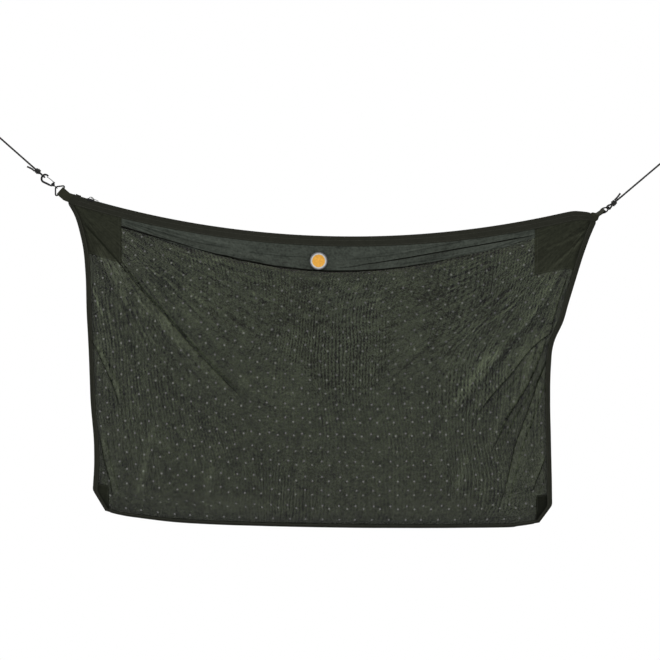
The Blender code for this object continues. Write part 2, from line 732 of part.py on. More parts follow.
def make_badge(cloth, field):
    """A round sewn patch with a raised rim, flat on the hem in a cell of its own."""
    column = 3 + COLUMNS_BESIDE_BADGE + 0.5
    layer = CLOTH + GAP + CLOTH
    corners = [cloth.point(i, j, -1, layer) for i in (2, 3) for j in (column - 0.5, column + 0.5)]
    top, low = (corners[0] + corners[1]) / 2, (corners[2] + corners[3]) / 2
    down = (low - top).normalized()
    across = (corners[1] - corners[0] + corners[3] - corners[2]).normalized()
    centre = top + down * BADGE_DROP
    normal = across.cross(down)
    normal = normal if normal.y < 0 else -normal
    rise = max(abs((c - centre).dot(normal)) for c in corners)
    place = frame_of(normal, across, centre + normal * (rise + GAP))
    rim_inside = BADGE_RADIUS - 2 * BADGE_RIM
    profile = [(0, BADGE_RADIUS), (BADGE_THICKNESS, BADGE_RADIUS),
               (BADGE_THICKNESS + BADGE_RIM_RISE, BADGE_RADIUS - BADGE_RIM),
               (BADGE_THICKNESS, rim_inside), (BADGE_THICKNESS, rim_inside / 2)]
    add_mesh("badge", [capped_solid(profile, 32)], field, place, round_edges=40)


def webbing_path(length):
    """The middle line of the folded webbing, as (distance from the bar, height) pairs."""
    radius = RING_WIRE + BAR_PLAY + WEBBING_THICKNESS / 2
    ply = GAP / 2 + WEBBING_THICKNESS / 2
    throat = radius + WEBBING_NECK
    steps = ceil((WEBBING_FREE - throat) / WEBBING_STEP)
    free = [WEBBING_FREE - (WEBBING_FREE - throat) * k / steps for k in range(steps + 1)]
    legs = [length, (length + WEBBING_FREE) / 2] + free
    opening = radians(BAR_OPENING)
    steps = 10
    ring = []
    for k in range(steps + 1):
        angle = -opening - 2 * (pi - opening) * k / steps
        ring.append((radius * cos(angle), radius * sin(angle)))
    return [(x, -ply) for x in legs] + ring + [(x, ply) for x in reversed(legs)]


def make_webbing(name, ring, way, finish):
    """Webbing folded round the ring's bar, both plies sewn into the sack's corner.

    Near the bar it lies square to the bar, and at the sack flat between the panels.
    """
    path = webbing_path(WEBBING_FREE + WEBBING_SEWN)
    bar, bar_way, bar_across = ring.translation, -ring.col[0].xyz, ring.col[1].xyz
    across = Vector((-way.z, 0, way.x))
    if across.dot(bar_across) < 0:
        across.negate()
    half = WEBBING_WIDTH / 2
    count = len(path)
    square = RING_WIRE + BAR_PLAY + WEBBING_THICKNESS + WEBBING_NECK
    turned_over = (WEBBING_FREE - square) * TWIST_SHARE
    grids = {-1: [], 1: []}
    for k, (x, h) in enumerate(path):
        before, after = path[max(k - 1, 0)], path[min(k + 1, count - 1)]
        run = Vector((after[0] - before[0], after[1] - before[1]))
        run.normalize()
        for face in (-1, 1):
            px = x + face * run.y * WEBBING_THICKNESS / 2
            ph = h - face * run.x * WEBBING_THICKNESS / 2
            share = min(max((WEBBING_FREE - px) / turned_over, 0), 1)
            share = share * share * (3 - 2 * share)
            onward = way.lerp(bar_way, share)
            wide = across.lerp(bar_across, share).normalized()
            deep = wide.cross(onward).normalized()
            row = [bar + onward * px + wide * w + deep * ph for w in (-half, half)]
            grids[face].append(row)
    back_half = range(count // 2, count)
    add_mesh(name, [shell(grids[-1], grids[1], back_half)], finish, round_edges=60)


def filleted(corners, radii, steps):
    """A closed outline with each corner rounded by its own radius."""
    found = []
    count = len(corners)
    for k in range(count):
        before, here, after = (Vector(corners[(k + d) % count]) for d in (-1, 0, 1))
        a, b = (before - here).normalized(), (after - here).normalized()
        half = acos(a.dot(b)) / 2
        middle = here + (a + b).normalized() * (radii[k] / sin(half))
        start = here + a * (radii[k] / tan(half)) - middle
        end = here + b * (radii[k] / tan(half)) - middle
        sweep = pi - 2 * half
        for s in range(steps + 1):
            t = s / steps
            found.append(middle + (start * sin((1 - t) * sweep) + end * sin(t * sweep)) / sin(sweep))
    return found


def ring_half_width():
    """Half the ring's outline at the bar, with its straight part as wide as the webbing."""
    half = WEBBING_WIDTH / 2
    for _ in range(12):
        base_angle = atan2(RING_HEIGHT, half)
        half = WEBBING_WIDTH / 2 + GAP + RING_CORNER / tan(base_angle / 2)
    return half


def ring_tip():
    """The distance from the bar to the middle of the wire at the ring's tip."""
    half_angle = atan2(ring_half_width(), RING_HEIGHT)
    return RING_HEIGHT - RING_TIP * (1 / sin(half_angle) - 1)


def make_ring(name, place, metal):
    half = ring_half_width()
    corners = [(0, -half, 0), (RING_HEIGHT, 0, 0), (0, half, 0)]
    line = filleted(corners, (RING_CORNER, RING_TIP, RING_CORNER), 5)
    add_tube(name, line, RING_WIRE, metal, place, closed=True)


def eye_centre():
    return ring_tip() - RING_WIRE - RING_PLAY + EYE_RADIUS - EYE_WIRE


def hub_start():
    return eye_centre() + EYE_RADIUS + EYE_WIRE + EYE_NECK


def make_swivel_eye(place, metal):
    """An eye round the ring's tip, with a riveted shank that turns in the hook's hub."""
    steps = 20
    centre = eye_centre()
    circle = [(centre + EYE_RADIUS * cos(2 * pi * k / steps), 0, EYE_RADIUS * sin(2 * pi * k / steps))
              for k in range(steps)]
    eye = add_tube("eye_wire", circle, EYE_WIRE, metal, place, closed=True)
    neck = centre + EYE_RADIUS
    start = hub_start()
    end = start + HUB_LENGTH
    profile = [(neck, SHANK_RADIUS * 0.6), (start - GAP - COLLAR_LENGTH, RIVET_RADIUS * 0.8),
               (start - GAP, RIVET_RADIUS),
               (start - GAP, SHANK_RADIUS), (end + GAP, SHANK_RADIUS), (end + GAP, RIVET_RADIUS),
               (end + GAP + RIVET_LENGTH * 0.6, RIVET_RADIUS), (end + GAP + RIVET_LENGTH, RIVET_RADIUS * 0.6)]
    shank = add_mesh("left_swivel_eye", [capped_solid(profile, 12)], metal, place, round_edges=35)
    join(shank, eye)


def hook_bend():
    """The distance along the rig to the hook's bend."""
    return hub_start() + HOOK_REACH


def hook_width(share):
    """The wire's share of its full radius along the hook's arm: thin in the hub, then at the nose."""
    root = min(share / 0.12, 1)
    nose = max(0, share - 0.75) / 0.25
    return 0.6 + 0.4 * root - (1 - NOSE_SHARE) * nose


def make_hook(place, metal):
    """A hub with a swept arm that ends in a nose, and a lug that carries the gate."""
    start, end = hub_start(), hub_start() + HUB_LENGTH
    bore = SHANK_RADIUS + SHANK_PLAY
    edge = 0.0007
    profile = [(start, bore), (start, HUB_RADIUS - edge), (start + edge, HUB_RADIUS),
               (end - edge, HUB_RADIUS), (end, HUB_RADIUS - edge), (end, bore)]
    body = add_mesh("left_hook", [turned_solid(profile)], metal, place, round_edges=35)
    bend = hook_bend()
    out, nose = HOOK_OUT, HOOK_NOSE
    knots = [(start + 0.0026, HUB_RADIUS - 0.0002, 0), (start + 0.007, out * 0.53, 0),
             (start + 0.0185, out * 0.79, 0), (bend - 0.0115, out, 0), (bend - 0.0055, out * 0.93, 0),
             (bend - 0.0012, out * 0.53, 0), (bend, 0, 0), (bend - 0.0015, -nose * 0.55, 0),
             (bend - 0.0048, -nose * 0.87, 0), (bend - 0.009, -nose, 0),
             (bend - NOSE_LENGTH, -nose, 0)]
    line = smooth_line(knots, 0.0024)
    count = len(line)
    widths = [hook_width(k / (count - 1)) for k in range(count)]
    arm = add_tube("hook_arm", line, HOOK_WIRE, metal, place, widths=widths)
    join(body, arm)
    hinge = gate_hinge()
    turns = [pi + pi * k / 6 for k in range(7)]
    lug_outline = [(hinge[0] + LUG_RADIUS * cos(a), hinge[1] + LUG_RADIUS * sin(a)) for a in turns]
    lug_outline += [(hinge[0] + LUG_RADIUS, -HUB_RADIUS * 0.75), (hinge[0] - LUG_RADIUS, -HUB_RADIUS * 0.75)]
    lug = add_mesh("hook_lug", [prism(lug_outline, -LUG_HALF_WIDTH, LUG_HALF_WIDTH)], metal, place)
    join(body, lug)
    hole = GATE_WIRE + GAP
    past = 2 * LUG_HALF_WIDTH
    turn = Matrix.Translation((hinge[0], hinge[1], 0)) @ Matrix.Rotation(radians(90), 4, "Y")
    cut(body, add_mesh("hinge_bore", [capped_solid([(-past, hole), (past, hole)], 12)], metal, place @ turn))


def gate_hinge():
    """The gate's hinge in the rig's plane, as (along, across)."""
    return hub_start() + HUB_LENGTH - HINGE_PLACE[0], -HUB_RADIUS - HINGE_PLACE[1]


def make_gate(place, metal):
    """A sprung wire loop: a pin through the lug and two legs that meet behind the nose."""
    along_hinge, across_hinge = gate_hinge()
    nose_inside = HOOK_WIRE * (NOSE_SHARE + 0.06) - HOOK_NOSE
    reach = hook_bend() - NOSE_LENGTH + NOSE_OVERLAP - along_hinge
    rise = nose_inside + GAP + GATE_WIRE - across_hinge
    corner = GATE_CORNER
    at_hinge, at_tip = GATE_HALF_WIDTH
    side = [(0, 0, at_hinge - corner), (corner * 0.3, 0, at_hinge - corner * 0.3)]
    for k in range(7):
        t = k / 6
        x = corner + (reach - 2 * corner) * t
        side.append((x, rise * x / reach - GATE_BOW * sin(pi * t), at_hinge + (at_tip - at_hinge) * t))
    side += [(reach - corner * 0.3, rise, at_tip - corner * 0.3), (reach, rise, at_tip - corner)]
    line = side + [(x, y, -z) for x, y, z in reversed(side)]
    put = place @ Matrix.Translation((along_hinge, across_hinge, 0))
    add_tube("left_gate", line, GATE_WIRE, metal, put, closed=True)


def loop_radius(inside):
    """The middle line's radius of a cord's loop round a wire of this radius."""
    return inside + LOOP_PLAY + CORD


def tie_loop(name, inside, place, finish):
    """The cord's loop round a wire at the origin, open towards +X, in the XZ plane."""
    radius = loop_radius(inside)
    spread = max(LEG_SPREAD, CORD + GAP / 2)
    steps = 10
    line = [(radius * cos(a), 0, radius * sin(a))
            for a in (pi / 2 + pi * k / steps for k in range(steps + 1))]
    ends = radius + KNOT_STANDOFF - GAP
    straight, half_way = ends - CORD * 0.7, ends * 0.4
    upper = [(ends, 0, spread), (straight, 0, spread), (half_way, 0, (spread + radius) / 2)]
    lower = [(x, 0, -z) for x, _, z in reversed(upper)]
    add_tube(name, upper + line + lower, CORD, finish, place)


def knot_shape(start):
    """A wound knot with three bulges, along X from start."""
    count = KNOT_BULGES * 5
    profile = []
    for k in range(count + 1):
        t = k / count
        ripple = abs(sin(pi * t * KNOT_BULGES))
        ends = 0.82 if k in (0, count) else 1
        profile.append((start + KNOT_LENGTH * t, ends * (KNOT_RADIUS - KNOT_GROOVE * (1 - ripple))))
    return capped_solid(profile, 14)


def make_knot(name, start, place, finish):
    add_mesh(name, [knot_shape(start)], finish, place, round_edges=50)


def make_tail(name, start, place, finish):
    """The cut end of the cord, leaving the knot beside the main cord."""
    beside = 2 * CORD + GAP
    knots = [(start + GAP, 0, 0), (start + TAIL_LENGTH / 3, 0.0006, 0),
             (start + TAIL_LENGTH * 0.7, 0.0024, 0), (start + TAIL_LENGTH, 0.0042, 0)]
    line = [(p.x, p.y + beside, p.z) for p in smooth_line(knots, 0.005)]
    add_tube(name, line, CORD, finish, place)


def make_cord_run(hand, place, inside, length, finish):
    """Knot, tail, taut cord, far knot and end loop, along X from the tied wire."""
    knot_start = loop_radius(inside) + KNOT_STANDOFF
    knot_end = knot_start + KNOT_LENGTH
    make_knot(f"{hand}_knot", knot_start, place, finish)
    make_tail(f"{hand}_cord_tail", knot_end, place, finish)
    start, end = knot_end + GAP, knot_end + GAP + length
    steps = ceil(length / (5 * CORD))
    line = [(start + (end - start) * k / steps, 0, 0) for k in range(steps + 1)]
    add_tube(f"{hand}_cord", line, CORD, finish, place)
    far = end + GAP
    make_knot(f"{hand}_end_knot", far, place, finish)
    first = far + KNOT_LENGTH + GAP
    wide, long = END_LOOP_HALF_WIDTH, END_LOOP_LENGTH
    spread = max(LEG_SPREAD, CORD + GAP / 2)
    upper = [(first, spread, 0), (first + CORD, spread, 0), (first + long * 0.5, wide * 0.85, 0),
             (first + long * 0.78, wide, 0), (first + long * 0.96, wide * 0.55, 0), (first + long, 0, 0)]
    lower = [(x, -y, z) for x, y, z in reversed(upper[:-1])]
    add_tube(f"{hand}_end_loop", smooth_line(upper + lower, 0.006), CORD, finish, place)


def left_place():
    """Placing matrix of the left rig: X outwards along the cord, Y down and left."""
    outward = direction(RIG_ANGLE, -1)
    return frame_of(outward, Vector((-outward.z, 0, outward.x)), Vector())


def right_bar_direction():
    """The direction of the right ring's bar, which the webbing's twist turns."""
    across = Vector((-sin(radians(RIGHT_WEBBING_ANGLE)), 0, cos(radians(RIGHT_WEBBING_ANGLE))))
    twist = radians(RIGHT_WEBBING_TWIST)
    return across * cos(twist) + BACK * sin(twist)


def main():
    for old in list(bpy.data.objects):
        bpy.data.objects.remove(old)
    mesh_cloth = material("Olive mesh", (0.052, 0.057, 0.040), 0.85)
    patch_cloth = material("Double mesh", (0.038, 0.041, 0.029), 0.88)
    tape = material("Dark tape", (0.026, 0.027, 0.021), 0.8)
    webbing = material("Olive webbing", (0.035, 0.038, 0.024), 0.8)
    cord = material("Black cord", (0.012, 0.012, 0.011), 0.7)
    plastic = material("Black plastic", (0.012, 0.012, 0.012), 0.45)
    metal = material("Blackened metal", (0.03, 0.03, 0.03), 0.4, 0.9)
    orange = material("Orange stitching", (0.75, 0.32, 0.05), 0.7)

    cloth = Cloth()
    make_panels(cloth, mesh_cloth)
    make_hems_and_patches(cloth, mesh_cloth, patch_cloth)
    make_bindings(cloth, tape)
    make_zip(cloth, tape, plastic)
    place = make_slider(metal)
    make_pull(metal, place)
    make_badge(cloth, orange)

    left = left_place()
    make_webbing("left_webbing", left, LEFT_WAY, webbing)
    make_ring("left_ring", left, metal)
    make_swivel_eye(left, metal)
    make_hook(left, metal)
    make_gate(left, metal)
    at_bend = left @ Matrix.Translation((hook_bend(), 0, 0))
    tie_loop("left_tie_loop", HOOK_WIRE, at_bend, cord)
    make_cord_run("left", at_bend, HOOK_WIRE, LEFT_CORD_LENGTH, cord)

    bar = right_bar_direction()
    right = frame_of(-RIGHT_WAY, bar, RIGHT_BAR)
    make_webbing("right_webbing", right, RIGHT_WAY, webbing)
    make_ring("right_ring", right, metal)
    tip = right @ Vector((ring_tip(), 0, 0))
    outward = direction(CORD_ANGLE_RIGHT, 1)
    outward = (outward - outward.dot(bar) * bar).normalized()
    at_tip = frame_of(outward, bar, tip)
    tie_loop("right_tie_loop", RING_WIRE, at_tip, cord)
    upright = at_tip @ Matrix.Rotation(radians(90), 4, "X")
    make_cord_run("right", upright, RING_WIRE, RIGHT_CORD_LENGTH, cord)


main()
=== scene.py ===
"""Carp sack: soft mesh cloth, trims, zip, rings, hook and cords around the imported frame.

Lengths are metres. X runs along the sack, Z points up and -Y is the front.
"""

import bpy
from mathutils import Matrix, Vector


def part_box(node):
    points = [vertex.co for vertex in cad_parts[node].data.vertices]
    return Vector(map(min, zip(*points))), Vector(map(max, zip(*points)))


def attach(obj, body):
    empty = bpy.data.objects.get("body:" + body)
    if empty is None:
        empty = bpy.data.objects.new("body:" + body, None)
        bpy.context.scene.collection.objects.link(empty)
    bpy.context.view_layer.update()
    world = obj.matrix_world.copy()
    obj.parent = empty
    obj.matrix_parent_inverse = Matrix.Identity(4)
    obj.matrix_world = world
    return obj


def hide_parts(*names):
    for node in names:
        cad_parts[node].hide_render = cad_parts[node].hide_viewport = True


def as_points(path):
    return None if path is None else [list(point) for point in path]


bl_info = {
    "name": "Carp sack",
    "version": (1, 0, 0),
    "blender": (4, 5, 0),
    "location": "View3D > Sidebar > Carp sack",
    "description": "Makes a zipped sack of soft mesh that hangs from two cords",
    "category": "Object",
}
from functools import partial
from math import atan2, ceil, cos, pi, radians, sin, tan

import bmesh
import bpy
import numpy as np
from bpy.props import FloatProperty, FloatVectorProperty, IntProperty
from mathutils import Vector

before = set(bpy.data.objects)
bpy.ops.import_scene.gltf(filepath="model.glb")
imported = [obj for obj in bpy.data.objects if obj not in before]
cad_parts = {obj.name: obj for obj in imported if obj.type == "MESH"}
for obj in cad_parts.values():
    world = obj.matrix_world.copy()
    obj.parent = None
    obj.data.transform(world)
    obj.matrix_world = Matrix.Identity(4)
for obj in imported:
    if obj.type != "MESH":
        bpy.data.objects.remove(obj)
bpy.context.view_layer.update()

# Cloth, tape and clearances, as in the frame
CLOTH = 0.0007
GAP = 0.0003
SEAM = 0.00045
BELLY = 0.062
BINDING_WIDTH = 0.014
BOTTOM_BINDING = 0.009
TOP_PATCH_EDGE = (0.159, 1.2415)
TOP_PATCH_DROP = 0.145
CORNER_PATCH_WIDTH = 0.047
CORNER_PATCH_RISE = 0.075
CORNER_PATCH_FOOT = 0.2
FLAT_SIZE = (1.30, 0.80)

# Zip along the top edge
ZIP_RADIUS = 2.479
ZIP_START = 0.040
ZIP_SPAN = 1.273
ZIP_LOWEST = (0.765, -0.118)
ZIP_TURN = (0.082, -0.011)
TURN_START = (0.031, 0.0055)
TURN_END = (-0.012, 0.0025)
CHAIN_RISE = 0.005
TAPE_DROP = 0.021
HEM_DROP = (0.085, 0.039)
ZIP_END_LENGTH = (0.013, 0.005)

# Sides and bottom of the sack as it hangs: (share of the side's drop, inset)
SIDE_DROP = (0.752, 0.742)
LEFT_SIDE = ((0.047, 0.0193), (0.107, 0.0327), (0.172, 0.0423), (0.255, 0.0473), (0.378, 0.050),
             (0.520, 0.0553), (0.696, 0.0605), (0.820, 0.0683), (0.908, 0.0696), (1.0, 0.066))
RIGHT_SIDE = ((0.034, 0.0113), (0.069, 0.0217), (0.140, 0.040), (0.281, 0.0717), (0.352, 0.0872),
              (0.422, 0.1108), (0.493, 0.1187), (0.634, 0.1213), (0.882, 0.1174), (1.0, 0.1161))
CORNER_CUT = ((0.033, 0.055), (0.034, 0.046))
BOTTOM_SAG = ((0.03, 0.008), (0.072, 0.0145), (0.174, 0.0243), (0.33, 0.0273), (0.607, 0.0246),
              (0.90, 0.015), (0.953, 0.0094))
PANEL_CLOSED = (0.11, 0.22)
LINE_STEP = 0.012

# Round patch, its rings as (share of the radius, rise), webbing and rings
BADGE_RADIUS = 0.023
BADGE_STEPS = 96
BADGE_NORMAL = (0.003068, -0.995179, 0.098029)
BADGE_RINGS = ((0.35, 0.00005), (0.70, 0.00005), (0.73, 0.0003), (0.78, 0.0004), (0.84, 0.0003),
               (0.87, 0.0006), (0.93, 0.0010), (0.985, 0.0008), (1.0, 0.0), (0.98, -0.0007))
BADGE_FIELD = 0.715
BADGE_RIM = 0.86
BADGE_THREAD = 0.00012
WEBBING_WIDTH = 0.025
WEBBING_THICKNESS = 0.0014
WEBBING_FREE = 0.032
WEBBING_SEWN = 0.042
WEBBING_NECK = 0.004
BAR_OPENING = 65
PANEL_SPACE = 2 * WEBBING_THICKNESS + 3 * GAP
MOUTH_CLEARANCE = 0.0015
LEFT_WEBBING_ANGLE = 34
RIGHT_WEBBING_ANGLE = 33
RIGHT_WEBBING_TWIST = 68
TWIST_SHARE = 0.62
RING_WIRE = 0.0021
RING_HEIGHT = 0.0185
RING_CORNER = 0.0031
RING_TIP = 0.0052
RING_PLAY = 0.0005
BAR_PLAY = 0.0004
RIG_ANGLE = 41.4
EYE_WIRE = 0.0014
EYE_RADIUS = 0.0046
EYE_NECK = 0.0009
HOOK_WIRE = 0.0029
HOOK_REACH = 0.0385

# Cords, knots and end loops
CORD = 0.0024
LOOP_PLAY = 0.0006
LEG_SPREAD = 0.0023
KNOT_RADIUS = 0.0075
KNOT_LENGTH = 0.0165
KNOT_STANDOFF = 0.0032
KNOT_BITE = 0.0016
TAIL_LENGTH = 0.021
LEFT_CORD_LENGTH = 0.148
RIGHT_CORD_LENGTH = 0.17
CORD_ANGLE_RIGHT = 41.5
END_LOOP_LENGTH = 0.052
END_LOOP_HALF_WIDTH = 0.012
CORD_STEP = 0.0008
CORD_SIDES = 16
BRAID_LAYS = 6.5
KNOT_TURNS = 2.6

# The photograph's frame: one pixel of 660 in metres, and the pixel of the origin
PIXEL = 0.00262
ORIGIN_PIXEL = (60.8, 191.5)
FRAME_PIXELS = 660

# Stage: lamps by name, place, size and share of the power, and the floor
LAMPS = (("key", (0.1, -2.4, 1.9), 2.2, 1.0), ("fill", (2.6, -2.6, 0.2), 2.0, 0.3),
         ("rear", (0.6, 2.6, 1.4), 2.2, 0.5))
FLOOR_HEIGHT = -1.41
FLOOR_CORNERS = ((-0.9, -0.8), (2.3, -0.8), (2.3, 0.8), (-0.9, 0.8))
WHITE = (1, 1, 1, 1)

# Lattice of the two panels
COLUMNS = 290
ROWS = 148
HOLE_PITCH = (0.048, 0.040)
HOLE_ROOM = 0.0034
HOLE_START = {-1: (0.026, 0.022), 1: (0.046, 0.006)}

# Kinds of fold: height, reach on the high and the low side, shift across the line, painted shade on
# the line (a painted highlight where above 1), half width of that painted line, painted highlight on
# the high side, and how much finer the lattice gets
FOLD_KINDS = {
    "tuck": (0.0075, 0.030, 0.0026, 0.0040, 0.03, 0.0030, 1.55, 3.6),
    "small tuck": (0.0052, 0.016, 0.0022, 0.0030, 0.12, 0.0024, 1.55, 2.6),
    "roll": (0.0085, 0.032, 0.0090, 0.0, 0.35, 0.0075, 1.6, 0.0),
    "ridge": (0.0070, 0.016, 0.0140, 0.0, 1.0, 0.0070, 2.0, 0.0),
    "crease": (0.0024, 0.0075, 0.0045, 0.0, 0.20, 0.0026, 2.0, 1.0),
    "corner crease": (0.0024, 0.0075, 0.0045, 0.0, 0.30, 0.0026, 1.4, 1.0),
    "streak": (0.0022, 0.0045, 0.0045, 0.0, 3.2, 0.0015, 1.0, 1.2),
}
# Folds that are pinched sharp get a dark strip of painted shade: its width and the layer it lies on
FOLD_SHADE_STRIPS = {"tuck": (0.0030, 1), "small tuck": (0.0022, 1), "corner crease": (0.0028, 2)}
# Each fold: its kind, the side that stands out, its strength and its line in pixels of the photograph
FOLDS = (
    ("tuck", -1, 1, (110, 253, 117, 261.4, 128.6, 275, 140, 289, 151.4, 301, 163, 314, 174, 326.6, 186, 340,
            210, 365.5, 232.5, 388, 250, 405.5)),
    ("corner crease", -1, 1, (84, 223.7, 97.7, 238.6, 112.6, 255.7, 120, 265)),
    ("roll", 1, 1, (91, 248, 97.7, 261, 105.7, 275, 113.7, 290, 124, 305, 133, 315, 142, 327)),
    ("streak", 1, 1, (88.6, 273, 94.3, 293, 101, 310.6, 110, 327)),
    ("small tuck", 1, 1, (89, 337, 97.5, 349, 103.5, 362.5, 111, 379, 117, 394, 121, 410)),
    ("small tuck", 1, 0.8, (99.5, 432, 105, 460, 111, 482.5, 113, 499)),
    ("crease", 1, 0.8, (119, 249, 133, 261.4, 146.9, 270.6, 162.9, 278.6, 174.3, 290, 188, 301)),
    ("crease", 1, 0.7, (122, 236, 130.9, 244.3, 144.6, 258, 160, 272)),
    ("crease", -1, 0.8, (160, 252, 180, 267, 197, 279.7, 217, 289)),
    ("crease", -1, 0.7, (176, 251, 197, 258, 225, 263)),
    ("crease", 1, 0.6, (136, 330, 160, 349, 181, 372, 199, 398)),
    ("streak", 1, 0.6, (126, 284, 142, 303, 156, 322)),
    ("streak", 1, 0.7, (181, 285, 196, 297, 212, 311)),
    ("ridge", 1, 0.8, (150, 420, 146, 450, 139, 480, 134, 505)),
    ("roll", -1, 1.1, (566, 268, 553, 289, 542.5, 307, 527.5, 325, 508, 349, 484, 379, 466, 402, 444, 424)),
    ("ridge", 1, 1, (496, 341, 475, 370, 452.5, 397, 434, 419)),
    ("tuck", -1, 0.75, (568, 272, 559, 298, 553, 317.5, 550, 332.5, 538, 341.5, 526, 353.5, 511, 373, 496,
            389.5, 487, 400, 470, 422)),
    ("tuck", -1, 1, (546, 338, 532, 374.5, 520, 395.5, 508, 415, 496, 440.5, 490, 452)),
    ("tuck", 1, 0.9, (549, 357, 539.5, 379, 532, 400, 523, 425.5, 515.5, 445, 511, 464.5, 506.5, 484, 502,
            499, 497, 515)),
    ("small tuck", -1, 0.8, (546, 455, 538, 475, 531, 493)),
    ("crease", -1, 1, (577, 262, 571, 286, 563.5, 302.5, 556, 325, 554, 337)),
    ("crease", 1, 1, (588, 231, 572.5, 247, 557.5, 260.5, 548, 269)),
    ("crease", 1, 0.8, (592, 226, 575, 235, 556, 244, 540, 250)),
    ("streak", 1, 0.6, (520, 300, 498, 316, 478, 329)),
    ("crease", -1, 0.5, (528, 276, 500, 286, 470, 297, 440, 312)),
    ("crease", -1, 0.5, (530, 292, 505, 306, 480, 325, 462, 345)),
    ("ridge", -1, 0.7, (470, 455, 462, 480, 457, 505)),
    ("roll", 1, 0.5, (300, 430, 296, 460, 291, 490, 288, 512)),
    ("ridge", 1, 0.5, (214, 440, 209, 470, 203, 500)),
    ("streak", 1, 0.7, (200, 256.5, 210, 258.6, 222, 262)),
    ("streak", 1, 0.6, (262, 281, 271, 280.6, 282, 282)),
    ("streak", 1, 0.6, (249, 287.5, 254, 294, 260, 300.5)),
    ("streak", 1, 0.6, (260, 297, 267, 299.5, 276, 302.5)),
    ("streak", 1, 0.5, (281, 285, 286, 289.5, 291, 296)),
    ("crease", 1, 0.8, (321, 275, 329, 279, 333.5, 283.5, 329, 291, 325.5, 300, 325, 311)),
    ("streak", 1, 0.6, (339.5, 293.5, 341, 300, 342.5, 309)),
    ("streak", 1, 0.6, (345, 292, 355, 288, 367, 284)),
    ("streak", 1, 0.9, (367, 309, 374, 303.5, 382, 297)),
    ("streak", 1, 0.5, (372, 301, 380, 292, 390, 283)),
)
HEM_PLEAT = (340, 268.2, 397, 259.5, 445, 251.2, 490, 243.4, 532, 235.6)
HEM_STREAKS = (
    ((128, 222, 160, 231, 196, 241, 230, 248), 0.007),
    ((150, 236, 186, 246, 226, 255, 262, 261), 0.006),
    ((250, 252, 280, 255, 306, 257), 0.005),
    ((352, 259, 392, 254, 430, 247, 462, 241), 0.006),
    ((400, 264, 445, 257, 490, 249, 528, 242), 0.007),
)
# Painted shade on the two corner patches, darker on the right
CORNER_PATCH_SHADE = {"left": 0.76, "right": 0.40}
EDGE_SHADE = (0.55, 0.007)
FOOT_SHADE = (0.45, 0.020)
BACK_FOLD_SHIFT = (0.017, 0, -0.011)
MOTTLING = ((4.0, 1.0), (26.0, 1.4), (80.0, 1.8), (180.0, 2.4))
RIPPLES = ((37, 0.4, 0.0011), (59, 1.9, 0.0009), (83, 4.1, 0.0007), (121, 0.9, 0.0005))
SETTLING = {"quality": 5, "mass": 0.15, "tension_stiffness": 20, "compression_stiffness": 20,
            "shear_stiffness": 8, "bending_stiffness": 0.8, "air_damping": 3, "vertex_group_mass": "held"}
# The hem's rolled edge, coloured dark as painted shadow under the hem: its drop and height in shares up
HEM_SHADOW_ROLL = (0.0045, 0.0058)
HEM_SEAMS = (0.16, 0.24)
BINDING_SEAM = 0.0025
TAPE_LENGTHS = (0, 0.0042, 0.0084, 0.0126, 0.0168, 0.021, 0.0235, 0.026)
TOOTH_SIZE = (0.0016, 0.0034, 0.0046)
TOOTH_OFFSET = (0.00175, 0.0024)
METAL_PIECES = (("left_ring", "left_wire_ring", 0.0003, 20), ("right_ring", "right_wire_ring", 0.0003, 20),
                ("left_swivel_eye", "swivel_eye", 0.00022, 4), ("left_hook", "snap_hook", 0.0003, 20),
                ("left_gate", "wire_gate", 0.00018, 4))

UP = np.array((0.0, 0.0, 1.0))
BACK = np.array((0.0, 1.0, 0.0))
SIDES = ((-1, "front"), (1, "back"))
COLOUR = {"subtype": "COLOR", "size": 3, "min": 0, "max": 1}
finishes = {}
surfaces = {}
seams = []


# Lines and vectors

def unit(vectors):
    return vectors / np.maximum(np.linalg.norm(vectors, axis=-1, keepdims=True), 1e-12)


def runs(line):
    """From the point before to the point after, at each point of a line."""
    return np.concatenate([line[1:], line[-1:]]) - np.concatenate([line[:1], line[:-1]])


def travelled(line):
    """The length along a line, or along each row of a lattice, up to each point."""
    steps = np.linalg.norm(np.diff(line, axis=-2), axis=-1)
    return np.concatenate([np.zeros_like(steps[..., :1]), np.cumsum(steps, axis=-1)], axis=-1)


def square_to(run, toward):
    """The unit vectors square to runs in the XZ plane, on the side of toward."""
    away = unit(np.stack([run[..., 2], 0 * run[..., 0], -run[..., 0]], -1))
    return away * np.sign(away @ toward)[..., None]


def smooth_line(knots, step):
    """Points about a step apart on a smooth curve through the knots."""
    knots = [np.array(k, float) for k in knots]
    ends = [2 * knots[0] - knots[1]] + knots + [2 * knots[-1] - knots[-2]]
    found = [knots[0]]
    for p0, p1, p2, p3 in zip(ends, ends[1:], ends[2:], ends[3:]):
        count = max(1, ceil(np.linalg.norm(p2 - p1) / step))
        for k in range(1, count + 1):
            t = k / count
            bend = 2 * p0 - 5 * p1 + 4 * p2 - p3
            twist = 3 * p1 - 3 * p2 + p3 - p0
            found.append(p1 + ((p2 - p0) * t + bend * t * t + twist * t * t * t) / 2)
    return np.array(found)


def along(line, shares):
    """Points at the given shares of a line's length; shares may have any shape."""
    lengths = travelled(line)
    at = np.clip(shares, 0, 1) * lengths[-1]
    return np.stack([np.interp(at, lengths, line[:, k]) for k in range(3)], -1)


def at_height(line, shares):
    """Points at the given shares of a rising line's height."""
    z = line[0, 2] + (line[-1, 2] - line[0, 2]) * np.clip(shares, 0, 1)
    return np.stack([np.interp(z, line[:, 2], line[:, k]) for k in range(3)], -1)


# Plan of the hanging sack

def direction(degrees, side):
    """A unit vector in the XZ plane, up and outwards; side is -1 for left and 1 for right."""
    return np.array((side * cos(radians(degrees)), 0, sin(radians(degrees))))


def zip_point(x):
    centre_z = ZIP_LOWEST[1] + ZIP_RADIUS
    return np.array((x, 0, centre_z - (ZIP_RADIUS ** 2 - (x - ZIP_LOWEST[0]) ** 2) ** 0.5))


